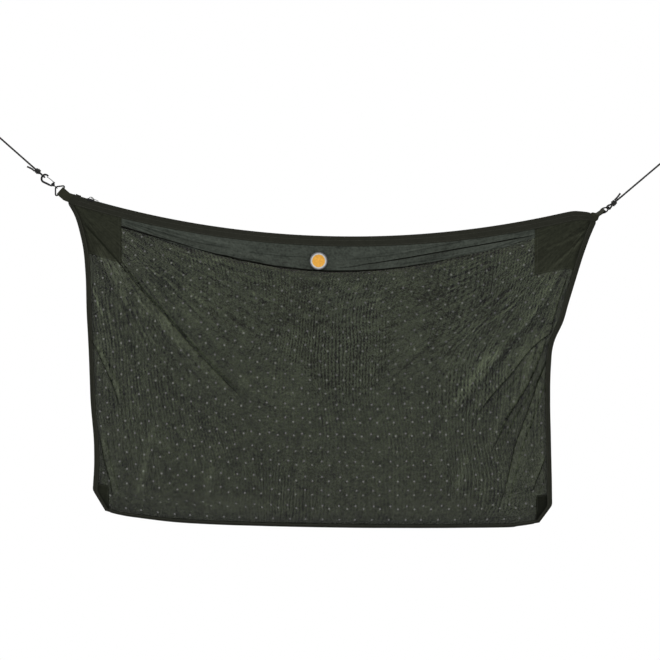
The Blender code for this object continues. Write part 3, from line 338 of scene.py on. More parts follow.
LEFT_WAY = -direction(LEFT_WEBBING_ANGLE, -1)
LEFT_MOUTH = LEFT_WAY * WEBBING_FREE
RIGHT_WAY = -direction(RIGHT_WEBBING_ANGLE, 1)
ZIP_FINISH = zip_point(ZIP_START + ZIP_SPAN)
RIGHT_MOUTH = ZIP_FINISH + np.array((ZIP_TURN[0], 0, ZIP_TURN[1]))
RIGHT_BAR = RIGHT_MOUTH - RIGHT_WAY * WEBBING_FREE


def mouth_corners(mouth, way):
    """The upper and lower ends of the gap that a webbing leaves the sack by."""
    half = square_to(way, UP) * (WEBBING_WIDTH / 2 + MOUTH_CLEARANCE)
    return mouth + half, mouth - half


def crest_line(upper, end):
    arc = [zip_point(ZIP_START + ZIP_SPAN * k / 120) for k in range(121)]
    start, finish = (np.array((x, 0, z)) for x, z in (TURN_START, TURN_END))
    turn = smooth_line([ZIP_FINISH, ZIP_FINISH + start, end + finish, end], LINE_STEP / 3)
    return np.array([upper] + arc + list(turn[1:]))


def side_line(upper, lower, drop, shape, corner, side):
    knots = [lower] + [lower + np.array((-side * inset, 0, -share * drop)) for share, inset in shape]
    foot = knots[-1] + np.array((-side * corner[0], 0, -corner[1]))
    line = smooth_line(knots, LINE_STEP)
    return np.array([foot] + list(line[::-1]) + [upper - UP * CHAIN_RISE])


def bottom_line(left_foot, right_foot):
    knots = [left_foot]
    for share, sag in BOTTOM_SAG:
        knots.append(left_foot + (right_foot - left_foot) * share - UP * sag)
    return smooth_line(knots + [right_foot], LINE_STEP)


class Plan:
    """The flat outline of the hanging sack, by shares across (u) and up (v)."""

    def __init__(self):
        upper_left, lower_left = mouth_corners(LEFT_MOUTH, LEFT_WAY)
        upper_right, lower_right = mouth_corners(RIGHT_MOUTH, RIGHT_WAY)
        self.left = side_line(upper_left, lower_left, SIDE_DROP[0], LEFT_SIDE, CORNER_CUT[0], -1)
        self.right = side_line(upper_right, lower_right, SIDE_DROP[1], RIGHT_SIDE, CORNER_CUT[1], 1)
        self.bottom = bottom_line(self.left[0], self.right[0])
        self.crest = crest_line(upper_left, upper_right)
        self.top = self.crest - UP * CHAIN_RISE
        self.width = travelled(self.top)[-1]
        middle = along(self.top, 0.5)[2] - along(self.bottom, 0.5)[2]
        self.heights = (self.left[-1, 2] - self.left[0, 2], middle, self.right[-1, 2] - self.right[0, 2])
        self.mouths = (self.left[-1, 2] - lower_left[2], self.right[-1, 2] - lower_right[2])

    def points(self, u, v):
        u, v = np.broadcast_arrays(u, v)
        a, b = u[..., None], v[..., None]
        foot, top = along(self.bottom, u), along(self.top, u)
        left, right = at_height(self.left, v), at_height(self.right, v)
        corners = [along(line, share) for line in (self.bottom, self.top) for share in (0.0, 1.0)]
        found = (1 - b) * foot + b * top + (1 - a) * left + a * right
        found -= (1 - a) * (1 - b) * corners[0] + a * (1 - b) * corners[1]
        return found - (1 - a) * b * corners[2] - a * b * corners[3]

    def rest(self, v):
        """How far an empty panel's inner face lies from the middle plane."""
        low, high = PANEL_CLOSED
        opened = np.clip((high - (1 - v)) / (high - low), 0, 1)
        return GAP / 2 + (PANEL_SPACE - GAP) / 2 * opened

    def depth(self, u, v):
        """How far a panel's inner face lies from the middle plane with the sack filled."""
        return self.rest(v) + BELLY * np.sin(pi * u) * np.sin(pi * v) * (1 + 0.6 * np.cos(pi * v)) / 1.134

    def blend(self, u, values, power=1):
        """A value at each share across, from those at the left, middle and right."""
        left, middle, right = values
        return left * (1 - u) + right * u + (middle - (left + right) / 2) * np.sin(pi * u) ** power

    def share_below(self, u, drops, power=1):
        """The height share that lies a drop below the top edge: at the left, middle and right."""
        return self.blend(u, [1 - drop / height for drop, height in zip(drops, self.heights)], power)

    def share_above(self, u, rises):
        return self.blend(u, [rise / height for rise, height in zip(rises, self.heights)])

    def tape_share(self, u):
        return self.share_below(u, (self.mouths[0], TAPE_DROP, self.mouths[1]))

    def hem_share(self, u):
        return self.share_below(u, (HEM_DROP[1], HEM_DROP[0], HEM_DROP[1]), 2)

    def patch_share(self, u):
        return self.share_below(u, (TOP_PATCH_DROP,) * 3)

    def column_at(self, v, x):
        """The shares across at which rows v reach this x."""
        u = np.full(np.shape(v), (x - self.top[0, 0]) / self.width)
        for _ in range(16):
            u = u + (x - self.points(u, v)[..., 0]) / self.width
        return u

    def shares_at(self, places):
        """The shares across and up of places in the plan."""
        u, v = np.full((2,) + places.shape[:-1], 0.5)
        for _ in range(40):
            miss = places - self.points(u, v)
            u = np.clip(u + miss[..., 0] / self.width, 0, 1)
            v = np.clip(v + miss[..., 2] / self.heights[1], 0, 1)
        return u, v


plan = Plan()


# Meshes

def linked(name, data):
    made = bpy.data.objects.new(name, data)
    bpy.context.scene.collection.objects.link(made)
    return made


def grid_faces(rows, columns, start=0):
    """Quads of a lattice, turned so that X across and Z up face -Y."""
    index = start + np.arange(rows * columns).reshape(rows, columns)
    corners = index[:-1, :-1], index[:-1, 1:], index[1:, 1:], index[1:, :-1]
    return np.stack(corners, -1).reshape(-1, 4)


def mesh_object(name, points, faces, finish=None, uv=None, smooth=True, tone=None):
    """An object at the origin; uv holds one pair for each point, in metres of cloth.

    The painted shade and highlight, one number for each point, is kept in a second map that the mesh finishes
    read.
    """
    mesh = bpy.data.meshes.new(name)
    mesh.from_pydata(np.asarray(points).tolist(), [], [tuple(int(i) for i in f) for f in faces])
    maps = {} if uv is None else {"cut": np.asarray(uv)}
    if tone is not None:
        maps["tone"] = np.stack([np.ravel(tone), np.zeros(np.size(tone))], -1)
    for label, pairs in maps.items():
        layer = mesh.uv_layers.new(name=label)
        corner = np.zeros(len(mesh.loops), np.int32)
        mesh.loops.foreach_get("vertex_index", corner)
        layer.uv.foreach_set("vector", pairs.astype(np.float32)[corner].ravel())
    if finish is not None:
        mesh.materials.append(finish)
    if smooth:
        mesh.shade_smooth()
    return linked(name, mesh)


def line_object(name, lines):
    """An object of bare edges along lines of points."""
    points, edges = [], []
    for line in lines:
        edges += [(k, k + 1) for k in range(len(points), len(points) + len(line) - 1)]
        points += line.tolist()
    mesh = bpy.data.meshes.new(name)
    mesh.from_pydata(points, edges, [])
    return linked(name, mesh)


def reworked(mesh, change):
    """Makes one change to a mesh by way of a bmesh."""
    work = bmesh.new()
    work.from_mesh(mesh)
    change(work)
    work.to_mesh(mesh)
    work.free()


def faced_out(piece):
    reworked(piece.data, lambda work: bmesh.ops.recalc_face_normals(work, faces=work.faces))


def ring_faces(count, sides, start=0):
    """The lattice of point numbers of rings, and the quads between them."""
    index = start + np.arange(count * sides).reshape(count, sides)
    after = np.roll(index, -1, axis=1)
    quads = np.stack([index[:-1], after[:-1], after[1:], index[1:]], -1)
    return index, quads.reshape(-1, 4).tolist()


def joined(name, pieces):
    """Joins meshes into one object under a new name."""
    whole = bmesh.new()
    for piece in pieces:
        whole.from_mesh(piece.data)
    mesh = bpy.data.meshes.new(name)
    whole.to_mesh(mesh)
    whole.free()
    mesh.materials.append(pieces[0].data.materials[0])
    for piece in pieces:
        bpy.data.objects.remove(piece)
    return linked(name, mesh)


def closed_sheet(name, inner, outer, uv, finish, flip=False, sharp=45, tone=None):
    """A closed layer between two lattices of points; the outer one faces out."""
    rows, columns = inner.shape[:2]
    count = rows * columns
    near = grid_faces(rows, columns)
    far = grid_faces(rows, columns, count)
    rim = list(range(columns)) + [i * columns + columns - 1 for i in range(1, rows)]
    rim += list(range(count - 2, count - columns - 1, -1)) + [i * columns for i in range(rows - 2, 0, -1)]
    edge = np.array([(b, a, count + a, count + b) for a, b in zip(rim, rim[1:] + rim[:1])])
    faces = np.concatenate([near[:, ::-1], far, edge[:, ::-1]])
    if flip:
        faces = faces[:, ::-1]
    points = np.concatenate([inner.reshape(-1, 3), outer.reshape(-1, 3)])
    flat = np.asarray(uv).reshape(-1, 2)
    if tone is not None:
        tone = np.concatenate([np.ravel(tone), np.ravel(tone)])
    made = mesh_object(name, points, faces, finish, np.concatenate([flat, flat]), tone=tone)
    made.data.set_sharp_from_angle(angle=radians(sharp))
    return made


def applied(piece):
    """Turns an object's modifiers into a plain mesh."""
    depsgraph = bpy.context.evaluated_depsgraph_get()
    mesh = bpy.data.meshes.new_from_object(piece.evaluated_get(depsgraph))
    piece.modifiers.clear()
    old = piece.data
    piece.data = mesh
    bpy.data.meshes.remove(old)
    mesh.name = piece.name
    return piece


def placed(piece, body, slot, *nodes):
    """Puts a piece on its body in place of the frame's nodes; the slot is not used."""
    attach(piece, body)
    if nodes:
        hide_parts(*nodes)
    return piece


# Node trees

def add_node(tree, kind, inputs=None, output=0, **settings):
    """Adds a node and gives one of its outputs; an input is a value, a Level or another output."""
    made = tree.nodes.new(kind)
    for key, value in settings.items():
        setattr(made, key, value)
    for key, value in (inputs or {}).items():
        value = getattr(value, "socket", value)
        if isinstance(value, bpy.types.NodeSocket):
            tree.links.new(value, made.inputs[key])
        else:
            made.inputs[key].default_value = value
    return made.outputs[output]


def geometry_tree(name, inputs, build):
    """A geometry tree with named inputs, (label, socket type, value), that ends in one finish."""
    tree = bpy.data.node_groups.new(name, "GeometryNodeTree")
    tree.interface.new_socket("Geometry", in_out="INPUT", socket_type="NodeSocketGeometry")
    for label, kind, value in inputs:
        socket = tree.interface.new_socket(label, in_out="INPUT", socket_type=kind)
        socket.default_value = value
    tree.interface.new_socket("Finish", in_out="INPUT", socket_type="NodeSocketMaterial")
    tree.interface.new_socket("Geometry", in_out="OUTPUT", socket_type="NodeSocketGeometry")
    given = tree.nodes.new("NodeGroupInput").outputs
    put = partial(add_node, tree)
    real = put("GeometryNodeRealizeInstances", {"Geometry": build(put, given)})
    coloured = put("GeometryNodeSetMaterial", {"Geometry": real, "Material": given["Finish"]})
    tree.links.new(coloured, tree.nodes.new("NodeGroupOutput").inputs["Geometry"])
    return tree


def run_tree(piece, tree, values):
    """Gives an object the tree with these inputs by name, and turns the result into a mesh."""
    modifier = piece.modifiers.new(tree.name, "NODES")
    modifier.node_group = tree
    for item in tree.interface.items_tree:
        if item.in_out == "INPUT" and item.name in values:
            modifier[item.identifier] = values[item.name]
    return applied(piece)


def drain_holes(put, given):
    """Opens a round hole in each marked block of four faces."""
    marked = put("GeometryNodeInputNamedAttribute", {"Name": "hole"}, "Attribute", data_type="BOOLEAN")
    centre = put("GeometryNodeInputNamedAttribute", {"Name": "centre"}, "Attribute", data_type="FLOAT_VECTOR")
    cut = put("GeometryNodeExtrudeMesh", {"Mesh": given["Geometry"], "Selection": marked,
                                          "Offset Scale": 0.0, "Individual": False}, mode="FACES")
    inside = cut.node.outputs["Top"]
    place = put("GeometryNodeInputPosition")
    away = put("ShaderNodeVectorMath", {0: place, 1: centre}, operation="SUBTRACT")
    away = put("ShaderNodeVectorMath", {0: away}, operation="NORMALIZE")
    reach = put("ShaderNodeVectorMath", {0: away, "Scale": given["Hole radius"]}, operation="SCALE")
    rim = put("ShaderNodeVectorMath", {0: centre, 1: reach}, operation="ADD")
    moved = put("GeometryNodeSetPosition", {"Geometry": cut, "Selection": inside, "Position": rim})
    return put("GeometryNodeDeleteGeometry", {"Geometry": moved, "Selection": inside}, domain="FACE")


def set_along(put, given, piece, size):
    """Sets a piece at each pitch along the edge lines."""
    curve = put("GeometryNodeMeshToCurve", {"Mesh": given["Geometry"]})
    spaced = put("GeometryNodeResampleCurve", {"Curve": curve, "Length": given["Pitch"]}, mode="LENGTH")
    turn = put("FunctionNodeAlignRotationToVector", {"Vector": put("GeometryNodeInputTangent")}, axis="X")
    return put("GeometryNodeInstanceOnPoints", {"Points": spaced, "Instance": piece, "Rotation": turn,
                                                "Scale": size})


def sewn_threads(put, given):
    """Lays short threads end to end along each edge line."""
    thread = put("GeometryNodeMeshUVSphere", {"Segments": 6, "Rings": 5, "Radius": 1.0})
    half = put("ShaderNodeMath", {0: given["Pitch"], 1: 0.42}, operation="MULTIPLY")
    radius = given["Thread radius"]
    size = put("ShaderNodeCombineXYZ", {"X": half, "Y": radius, "Z": radius})
    return set_along(put, given, thread, size)


def zip_teeth(put, given):
    """Sets a rounded tooth at each step along a line, with its length across the line."""
    tooth = put("GeometryNodeMeshCylinder", {"Vertices": 8, "Side Segments": 1, "Radius": 0.5, "Depth": 1.0})
    upright = put("GeometryNodeTransform", {"Geometry": tooth, "Rotation": (pi / 2, 0, 0)})
    return set_along(put, given, upright, given["Tooth size"])


# Finishes

class Level:
    """A number in a shader's tree, reckoned with by the usual signs."""

    def __init__(self, tree, socket):
        self.tree, self.socket = tree, socket

    def math(self, operation, *others):
        inputs = dict(enumerate((self, *others)))
        return Level(self.tree, add_node(self.tree, "ShaderNodeMath", inputs, operation=operation))

    def __add__(self, other):
        return self.math("ADD", other)

    def __mul__(self, other):
        return self.math("MULTIPLY", other)

    def scaled(self, factor, shift):
        return self.math("MULTIPLY_ADD", factor, shift)

    def clamped(self):
        return self.math("MAXIMUM", 0.0).math("MINIMUM", 1.0)


class Finish:
    """A material with the node groups that the finishes share."""

    def __init__(self, name, colour, roughness, metallic=0.0, alpha=1.0, specular=0.2):
        made = finishes[name] = bpy.data.materials.new(name)
        made.use_nodes = True
        made.diffuse_color = (*colour, 1)
        self.colour, self.tree = colour, made.node_tree
        self.inputs = self.tree.nodes["Principled BSDF"].inputs
        for socket, value in (("Base Color", (*colour, 1)), ("Roughness", roughness), ("Metallic", metallic),
                              ("Alpha", alpha), ("Specular IOR Level", specular)):
            self.inputs[socket].default_value = value

    def put(self, kind, inputs=None, output=0, **settings):
        return Level(self.tree, add_node(self.tree, kind, inputs, output, **settings))

    def link(self, level, socket):
        self.tree.links.new(level.socket, self.inputs[socket])

    def mixed(self, level, low, high):
        """Mixes the base colour from two colours by a level from 0 to 1."""
        inputs = {"Factor": level, 6: (*low, 1), 7: (*high, 1)}
        self.link(self.put("ShaderNodeMix", inputs, 2, data_type="RGBA"), "Base Color")

    def tinted(self, level, low, high):
        """Scales the base colour between two shares by a level from 0 to 1."""
        self.mixed(level, *([c * share for c in self.colour] for share in (low, high)))

    def bumped(self, height, distance):
        bump = self.put("ShaderNodeBump", {"Height": height, "Distance": distance, "Strength": 1.0})
        self.link(bump, "Normal")

    def cut_map(self):
        return self.put("ShaderNodeUVMap", uv_map="cut")

    def parts(self, vector):
        """The X and Y of a vector."""
        outputs = self.put("ShaderNodeSeparateXYZ", {0: vector}).socket.node.outputs
        return Level(self.tree, outputs["X"]), Level(self.tree, outputs["Y"])

    def vector(self, operation, inputs, output=0):
        return self.put("ShaderNodeVectorMath", inputs, output, operation=operation)

    def noise(self, vector, scale, detail=3.0, output="Fac"):
        return self.put("ShaderNodeTexNoise", {"Vector": vector, "Scale": scale, "Detail": detail}, output)

    def grain(self, scale):
        return self.noise(self.put("ShaderNodeTexCoord", output="Object"), scale, 4)

    def waves(self, vector, pitch_u, pitch_v):
        """Waves across and up the cloth, each from -1 to 1."""
        x, y = self.parts(vector)
        return (x * (2 * pi / pitch_u)).math("SINE"), (y * (2 * pi / pitch_v)).math("SINE")

    def weave(self, pitch_u, pitch_v):
        """A crossed thread pattern from -1 to 1, on the cloth's own lengths."""
        across, upward = self.waves(self.cut_map(), pitch_u, pitch_v)
        return across * upward

    def drifting(self, uv, pitch_u, pitch_v):
        """Waves whose direction drifts over the cloth, as two layers of net make them, from -1 to 1."""
        drift = self.vector("SCALE", {0: self.noise(uv, 2.6, 1.0, "Color"), "Scale": 0.16})
        across, upward = self.waves(self.vector("ADD", {0: uv, 1: drift}), pitch_u, pitch_v)
        patchy = self.noise(uv, 3.1).scaled(4.0, -1.5).clamped()
        return across * upward.scaled(0.5, 0.5) * patchy

    def glint_specks(self, uv):
        """Small light and dark specks, from -0.5 to 1; the light ones are painted glints where water or
        thread catches the light.
        """
        far = self.put("ShaderNodeTexVoronoi", {"Vector": uv, "Scale": 52.0}, "Distance")
        pick, _ = self.parts(far.socket.node.outputs["Color"])
        return far.scaled(-14.0, 1.6).clamped() * pick.scaled(1.5, -0.5)

    def pulled(self, uv, corner):
        """Fine light and dark lines, from -0.5 to 0.5, that spread from a hung corner of the cloth."""
        away = self.vector("SUBTRACT", {0: uv, 1: (*corner, 0)})
        reach = self.vector("LENGTH", {0: away}, "Value")
        x, y = self.parts(away)
        place = self.put("ShaderNodeCombineXYZ", {"X": y.math("ARCTAN2", x) * 46.0, "Y": reach * 9.0})
        return (self.noise(place, 1.0, 4.0) + -0.5) * reach.scaled(-1.5, 1.2).clamped()


def mesh_finish(name, colour, cover, drift, glint, pulled, uneven):
    """Knitted mesh with the painted shade and highlight of its map, a drifting pattern, streaks, mottling and
    specks.
    """
    cloth = Finish(name, colour, 0.85, alpha=cover, specular=0.05)
    uv, knit = cloth.cut_map(), cloth.weave(0.0021, 0.0018)
    level = cloth.drifting(uv, 0.0098, 0.0086).scaled(drift, 1.0)
    for scale, depth in MOTTLING:
        level += cloth.noise(uv, scale).scaled(depth * uneven, -depth * uneven / 2)
    for corner in ((0.0, FLAT_SIZE[1]), FLAT_SIZE):
        level += cloth.pulled(uv, corner) * pulled
    level += knit * 0.12
    level += cloth.glint_specks(uv) * glint
    # The painted shade and highlight of the folds, the binding edges and the foot, read from the second map
    tone, _ = cloth.parts(cloth.put("ShaderNodeUVMap", uv_map="tone"))
    cloth.tinted((level * tone * 0.25).clamped(), 0.0, 4.0)
    cloth.bumped(knit, 0.00022)


def woven_finish(name, colour, pitch_u, pitch_v, relief):
    tape = Finish(name, colour, 0.8, specular=0.06)
    weave = tape.weave(pitch_u, pitch_v)
    level = weave.scaled(0.2, 0.5) + tape.noise(tape.cut_map(), 60).scaled(0.6, -0.3)
    tape.tinted(level.clamped(), 0.6, 1.4)
    tape.bumped(weave, relief)


def worn_metal(name, colour, bare):
    """Blackened metal that shines where its edges are worn."""
    metal = Finish(name, colour, 0.38, metallic=0.9, specular=0.5)
    grain = metal.grain(450)
    edge = metal.put("ShaderNodeNewGeometry", output="Pointiness").scaled(9.0, -4.85)
    metal.mixed(edge.clamped() * grain, colour, bare)
    metal.link(grain.scaled(0.3, 0.25), "Roughness")
    metal.bumped(grain, 0.00004)


def speckled(name, colour, roughness, scale, relief, specular=0.3):
    finish = Finish(name, colour, roughness, specular=specular)
    grain = finish.grain(scale)
    finish.tinted(grain, 0.6, 1.4)
    finish.bumped(grain, relief)


# Surfaces of the two panels

def pixel_places(pixels):
    """Places in the XZ plane at pixels of the photograph, given as x, y, x, y."""
    x, y = np.reshape(pixels, (-1, 2)).T
    return np.stack([(x - ORIGIN_PIXEL[0]) * PIXEL, 0 * x, (ORIGIN_PIXEL[1] - y) * PIXEL], -1)


def eased(t):
    t = np.clip(t, 0, 1)
    return t * t * (3 - 2 * t)


def beside(flat, line):
    """Signed distance from a line, the share of its length there, and the unit vector across it."""
    run = np.diff(line, axis=0)
    steps = np.linalg.norm(run, axis=1)
    off = flat[:, None] - line[:-1]
    t = np.clip((off * run).sum(-1) / steps ** 2, 0, 1)
    far = off - t[..., None] * run
    best = np.linalg.norm(far, axis=-1).argmin(1)
    pick = np.arange(len(flat)), best
    far, t = far[pick], t[pick]
    across = np.stack([-run[best, 1], run[best, 0]], -1) / steps[best, None]
    share = ((np.cumsum(steps) - steps)[best] + t * steps[best]) / steps.sum()
    return np.copysign(np.linalg.norm(far, axis=1), (far * across).sum(1)), share, across


def fold_field(places, side):
    """What the folds do at each place: shift in the plan, height, painted shade and highlight, and lattice
    density.
    """
    flat = places[..., [0, 2]]
    shift, height = np.zeros(flat.shape), np.zeros(flat.shape[:-1])
    tone, density = np.ones(flat.shape[:-1]), np.ones(flat.shape[:-1])
    for kind, high_side, strength, pixels in FOLDS:
        rise, high, low, sideways, line_shading, width, sheen, finer = FOLD_KINDS[kind]
        line = pixel_places(pixels) + np.array(BACK_FOLD_SHIFT) * (side > 0)
        line = smooth_line(line, LINE_STEP)[:, [0, 2]]
        near = np.all((flat > line.min(0) - 0.08) & (flat < line.max(0) + 0.08), axis=-1)
        if not near.any():
            continue
        away, share, across = beside(flat[near], line)
        s = away * high_side
        ends = eased(share / 0.10) * eased((1 - share) / 0.22) * strength
        height[near] += rise * ends * eased((s / low + 1) / 2) * np.exp(-(np.maximum(s, 0) / high) ** 2)
        if sideways:
            fading = np.exp(-(s / (2.6 * sideways)) ** 2)
            lapped = -sideways * ends * np.sin(2 * pi * s / (3 * sideways)) * fading
            shift[near] += (lapped * high_side)[:, None] * across
        # Painted shade along the fold line (a painted highlight for streaks), and a painted highlight on the
        # high side
        painted_line_shading = (line_shading - 1) * np.exp(-((s + 0.65 * sideways) / width) ** 2)
        painted_side_highlight = (sheen - 1) * np.exp(-((s - 0.4 * high) / (0.45 * high)) ** 2)
        tone[near] *= 1 + ends * (painted_line_shading + painted_side_highlight)
        density[near] += finer * np.minimum(ends * 1.5, 1) * np.exp(-(s / 0.011) ** 2)
    return shift, height, tone, density


def ripple_heights(places):
    """Fine ripples that spread from the two hung corners."""
    total = np.zeros(places.shape[:-1])
    for corner in (LEFT_MOUTH, RIGHT_MOUTH):
        x, z = places[..., 0] - corner[0], places[..., 2] - corner[2]
        reach, angle = np.hypot(x, z), np.arctan2(z, x)
        for count, phase, height in RIPPLES:
            drift = 0.9 * np.sin(reach * 9 + phase) + 0.5 * np.sin(reach * 23 - phase)
            wide_enough = eased(reach * 2 * pi / count / 0.03 - 0.4)
            fading = np.exp(-(reach / 0.5) ** 2) * wide_enough
            total += height * fading * (1 + np.sin(count * angle + phase + drift))
    return total


def sample(table, row, x):
    """Reads rows of a table at fractional columns."""
    j = np.minimum(x.astype(int), table.shape[1] - 2)
    s = (x - j).reshape(x.shape + (1,) * (table.ndim - 2))
    return table[row, j] * (1 - s) + table[row, j + 1] * s


class Surface:
    """One panel's inner face as a lattice, read at any shares across and up."""

    def __init__(self, points, side, shares, tone):
        self.points, self.tone, self.shares = points, tone, shares
        self.normals = unit(np.cross(np.gradient(points, axis=1), np.gradient(points, axis=0))) * -side
        steps = np.linspace(0, 1, 2001)
        self.columns = np.stack([np.interp(steps, row, np.arange(len(row))) for row in shares])

    def read(self, table, u, v):
        u, v = np.broadcast_arrays(np.asarray(u, float), np.asarray(v, float))
        y = np.clip(v, 0, 1) * (len(table) - 1)
        i = np.minimum(y.astype(int), len(table) - 2)
        t = (y - i).reshape(y.shape + (1,) * (table.ndim - 2))
        x = np.clip(u, 0, 1) * (self.columns.shape[1] - 1)
        low = sample(table, i, sample(self.columns, i, x))
        high = sample(table, i + 1, sample(self.columns, i + 1, x))
        return low * (1 - t) + high * t

    def at(self, u, v, offset=0.0):
        normal = unit(self.read(self.normals, u, v))
        return self.read(self.points, u, v) + normal * np.asarray(offset)[..., None]


def settled(points, settings):
    """Lets a panel settle as cloth, a little larger than its hung shape, with its rim held."""
    rows, columns = points.shape[:2]
    piece = mesh_object("settling", points.reshape(-1, 3), grid_faces(rows, columns))
    held = piece.vertex_groups.new(name="held")
    index = np.arange(rows * columns).reshape(rows, columns)
    rim = np.concatenate([index[0], index[-3:].ravel(), index[:, 0], index[:, -1]])
    held.add([int(i) for i in rim], 1.0, "REPLACE")
    cloth = piece.modifiers.new("Settle", "CLOTH")
    for name, value in SETTLING.items():
        setattr(cloth.settings, name, value)
    cloth.settings.shrink_min = -settings.slack
    cloth.collision_settings.use_collision = False
    cloth.point_cache.frame_end = settings.settle_frames
    for number in range(1, settings.settle_frames + 1):
        bpy.context.scene.frame_set(number)
    depsgraph = bpy.context.evaluated_depsgraph_get()
    mesh = piece.evaluated_get(depsgraph).to_mesh()
    co = np.zeros(rows * columns * 3, np.float32)
    mesh.vertices.foreach_get("co", co)
    bpy.data.objects.remove(piece)
    bpy.context.scene.frame_set(1)
    limit = settings.settle_limit
    return np.clip(co.reshape(rows, columns, 3) - points, -limit, limit) * BACK


def softened(values):
    """Averages each lattice point with its neighbours."""
    for axis in (0, 1):
        values = np.moveaxis(values, axis, 0)
        wide = np.concatenate([values[:1], values, values[-1:]])
        values = np.moveaxis((wide[:-2] + 2 * values + wide[2:]) / 4, 0, axis)
    return values


def doubled(values, axis):
    """Adds a smooth step between each pair of lattice lines."""
    values = np.moveaxis(values, axis, 0)
    before = np.concatenate([values[:1], values[:-2]])
    after = np.concatenate([values[2:], values[-1:]])
    between = (9 * (values[:-1] + values[1:]) - before - after) / 16
    found = np.empty((2 * len(values) - 1,) + values.shape[1:])
    found[::2] = values
    found[1::2] = between
    return np.moveaxis(found, 0, axis)


def settling(side, settings, u, v):
    """How far the settling cloth moves at these shares."""
    across, up = np.linspace(0, 1, 127), np.linspace(0, 1, ROWS // 2 + 1)[:, None]
    points = plan.points(across[None, :], up)
    points[..., 1] = side * plan.depth(across[None, :], up)
    table = softened(softened(settled(points, settings)))
    for axis in (0, 1):
        table = doubled(table, axis)
    even = np.linspace(0, 1, table.shape[1])
    return Surface(table, side, np.tile(even, (len(table), 1)), None).read(table, u, v)


def lattice_shares(side, v):
    """Shares across for each row of the lattice, closer together at the folds."""
    even = np.linspace(0, 1, 501)
    density = fold_field(plan.points(even[None, :], v), side)[3]
    total = np.cumsum((density[:, 1:] + density[:, :-1]) / 2, axis=1)
    total = np.concatenate([np.zeros((len(total), 1)), total], axis=1) / total[:, -1:]
    return np.stack([np.interp(np.linspace(0, 1, COLUMNS + 1), row, even) for row in total])


def make_surfaces(settings):
    v = np.linspace(0, 1, ROWS + 1)[:, None]
    for side in (-1, 1):
        u = lattice_shares(side, v)
        points = plan.points(u, v)
        shift, height, tone, _ = fold_field(points, side)
        height = (height + ripple_heights(points)) * settings.fold_height
        rim = eased(np.minimum(u, 1 - u) / 0.02) * eased(np.minimum(v, 1 - v) / 0.03)
        points[..., [0, 2]] += shift * rim[..., None]
        points[..., 1] = side * plan.depth(u, v)
        points += settling(side, settings, u, v)
        points[..., 1] += side * height * rim
        points[..., 1] = side * np.maximum(side * points[..., 1], plan.rest(v))
        # Painted shade beside the side bindings and along the foot
        near_edge = (np.minimum(u, 1 - u) * plan.width - BINDING_WIDTH) / EDGE_SHADE[1]
        near_foot = (v * plan.heights[1] - BOTTOM_BINDING) / FOOT_SHADE[1]
        edge = 1 - EDGE_SHADE[0] * np.exp(-near_edge ** 2)
        foot = 1 - FOOT_SHADE[0] * np.exp(-near_foot ** 2)
        surfaces[side] = Surface(points, side, u, tone * edge * foot)


# Pieces of cloth

def marked_holes(surface, side):
    """The lattice blocks that the drain holes open, and the middle of each hole."""
    rows, columns = surface.points.shape[:2]
    marked = np.zeros((rows - 1, columns - 1), bool)
    centres = surface.points.copy()
    first = HOLE_START[side]
    for v in np.arange(first[1], FLAT_SIZE[1], HOLE_PITCH[1]) / FLAT_SIZE[1]:
        for u in np.arange(first[0], FLAT_SIZE[0] - 0.02, HOLE_PITCH[0]) / FLAT_SIZE[0]:
            i = round(v * (rows - 1))
            j = int(np.abs(surface.shares[min(i, rows - 1)] - u).argmin())
            inside = 2 < i < rows - 4 and 4 < j < columns - 5 and v < plan.hem_share(u) - 0.012
            if not inside or surface.shares[i, j + 1] - surface.shares[i, j - 1] < HOLE_ROOM:
                continue
            marked[i - 1:i + 1, j - 1:j + 1] = True
            centres[i - 1:i + 2, j - 1:j + 2] = surface.points[i, j]
    return marked, centres


def panel_piece(side, name, settings, tree):
    surface = surfaces[side]
    rows, columns = surface.points.shape[:2]
    faces = grid_faces(rows, columns)
    if side > 0:
        faces = faces[:, ::-1]
    v = np.broadcast_to(np.linspace(0, 1, rows)[:, None], (rows, columns))
    uv = np.stack([surface.shares * FLAT_SIZE[0], v * FLAT_SIZE[1]], -1).reshape(-1, 2)
    finish = finishes["mesh cloth"]
    piece = mesh_object(f"{name}_mesh", surface.points.reshape(-1, 3), faces, finish, uv, tone=surface.tone)
    marked, centres = marked_holes(surface, side)
    hole = piece.data.attributes.new("hole", "BOOLEAN", "FACE")
    hole.data.foreach_set("value", marked.ravel())
    centre = piece.data.attributes.new("centre", "FLOAT_VECTOR", "POINT")
    centre.data.foreach_set("vector", centres.astype(np.float32).ravel())
    run_tree(piece, tree, {"Hole radius": settings.hole_radius, "Finish": finish})
    for extra in ("hole", "centre"):
        piece.data.attributes.remove(piece.data.attributes[extra])
    wall = piece.modifiers.new("Cloth", "SOLIDIFY")
    wall.thickness = CLOTH
    wall.offset = 1
    applied(piece)
    piece.data.shade_smooth()
    placed(piece, "sack", "mesh_cloth", f"{name}_panel")


def strip(name, side, u, v, layer, finish, swell=0.0, level=1.0):
    """A closed layer over part of a panel; u and v are lattices of shares.

    swell makes it stand off in its middle, along its second index; level scales the painted shade and
    highlight it takes from the panel.
    """
    surface = surfaces[side]
    u, v = np.broadcast_arrays(u, v)
    low = layer * (CLOTH + GAP)
    high = low + CLOTH + swell * np.sin(np.linspace(0, pi, u.shape[1]))
    inner, outer = surface.at(u, v, low), surface.at(u, v, high)
    uv = np.stack([u * FLAT_SIZE[0], v * FLAT_SIZE[1]], -1)
    tone = surface.read(surface.tone, u, v) * level
    return closed_sheet(name, inner, outer, uv, finish, flip=side > 0, tone=tone)


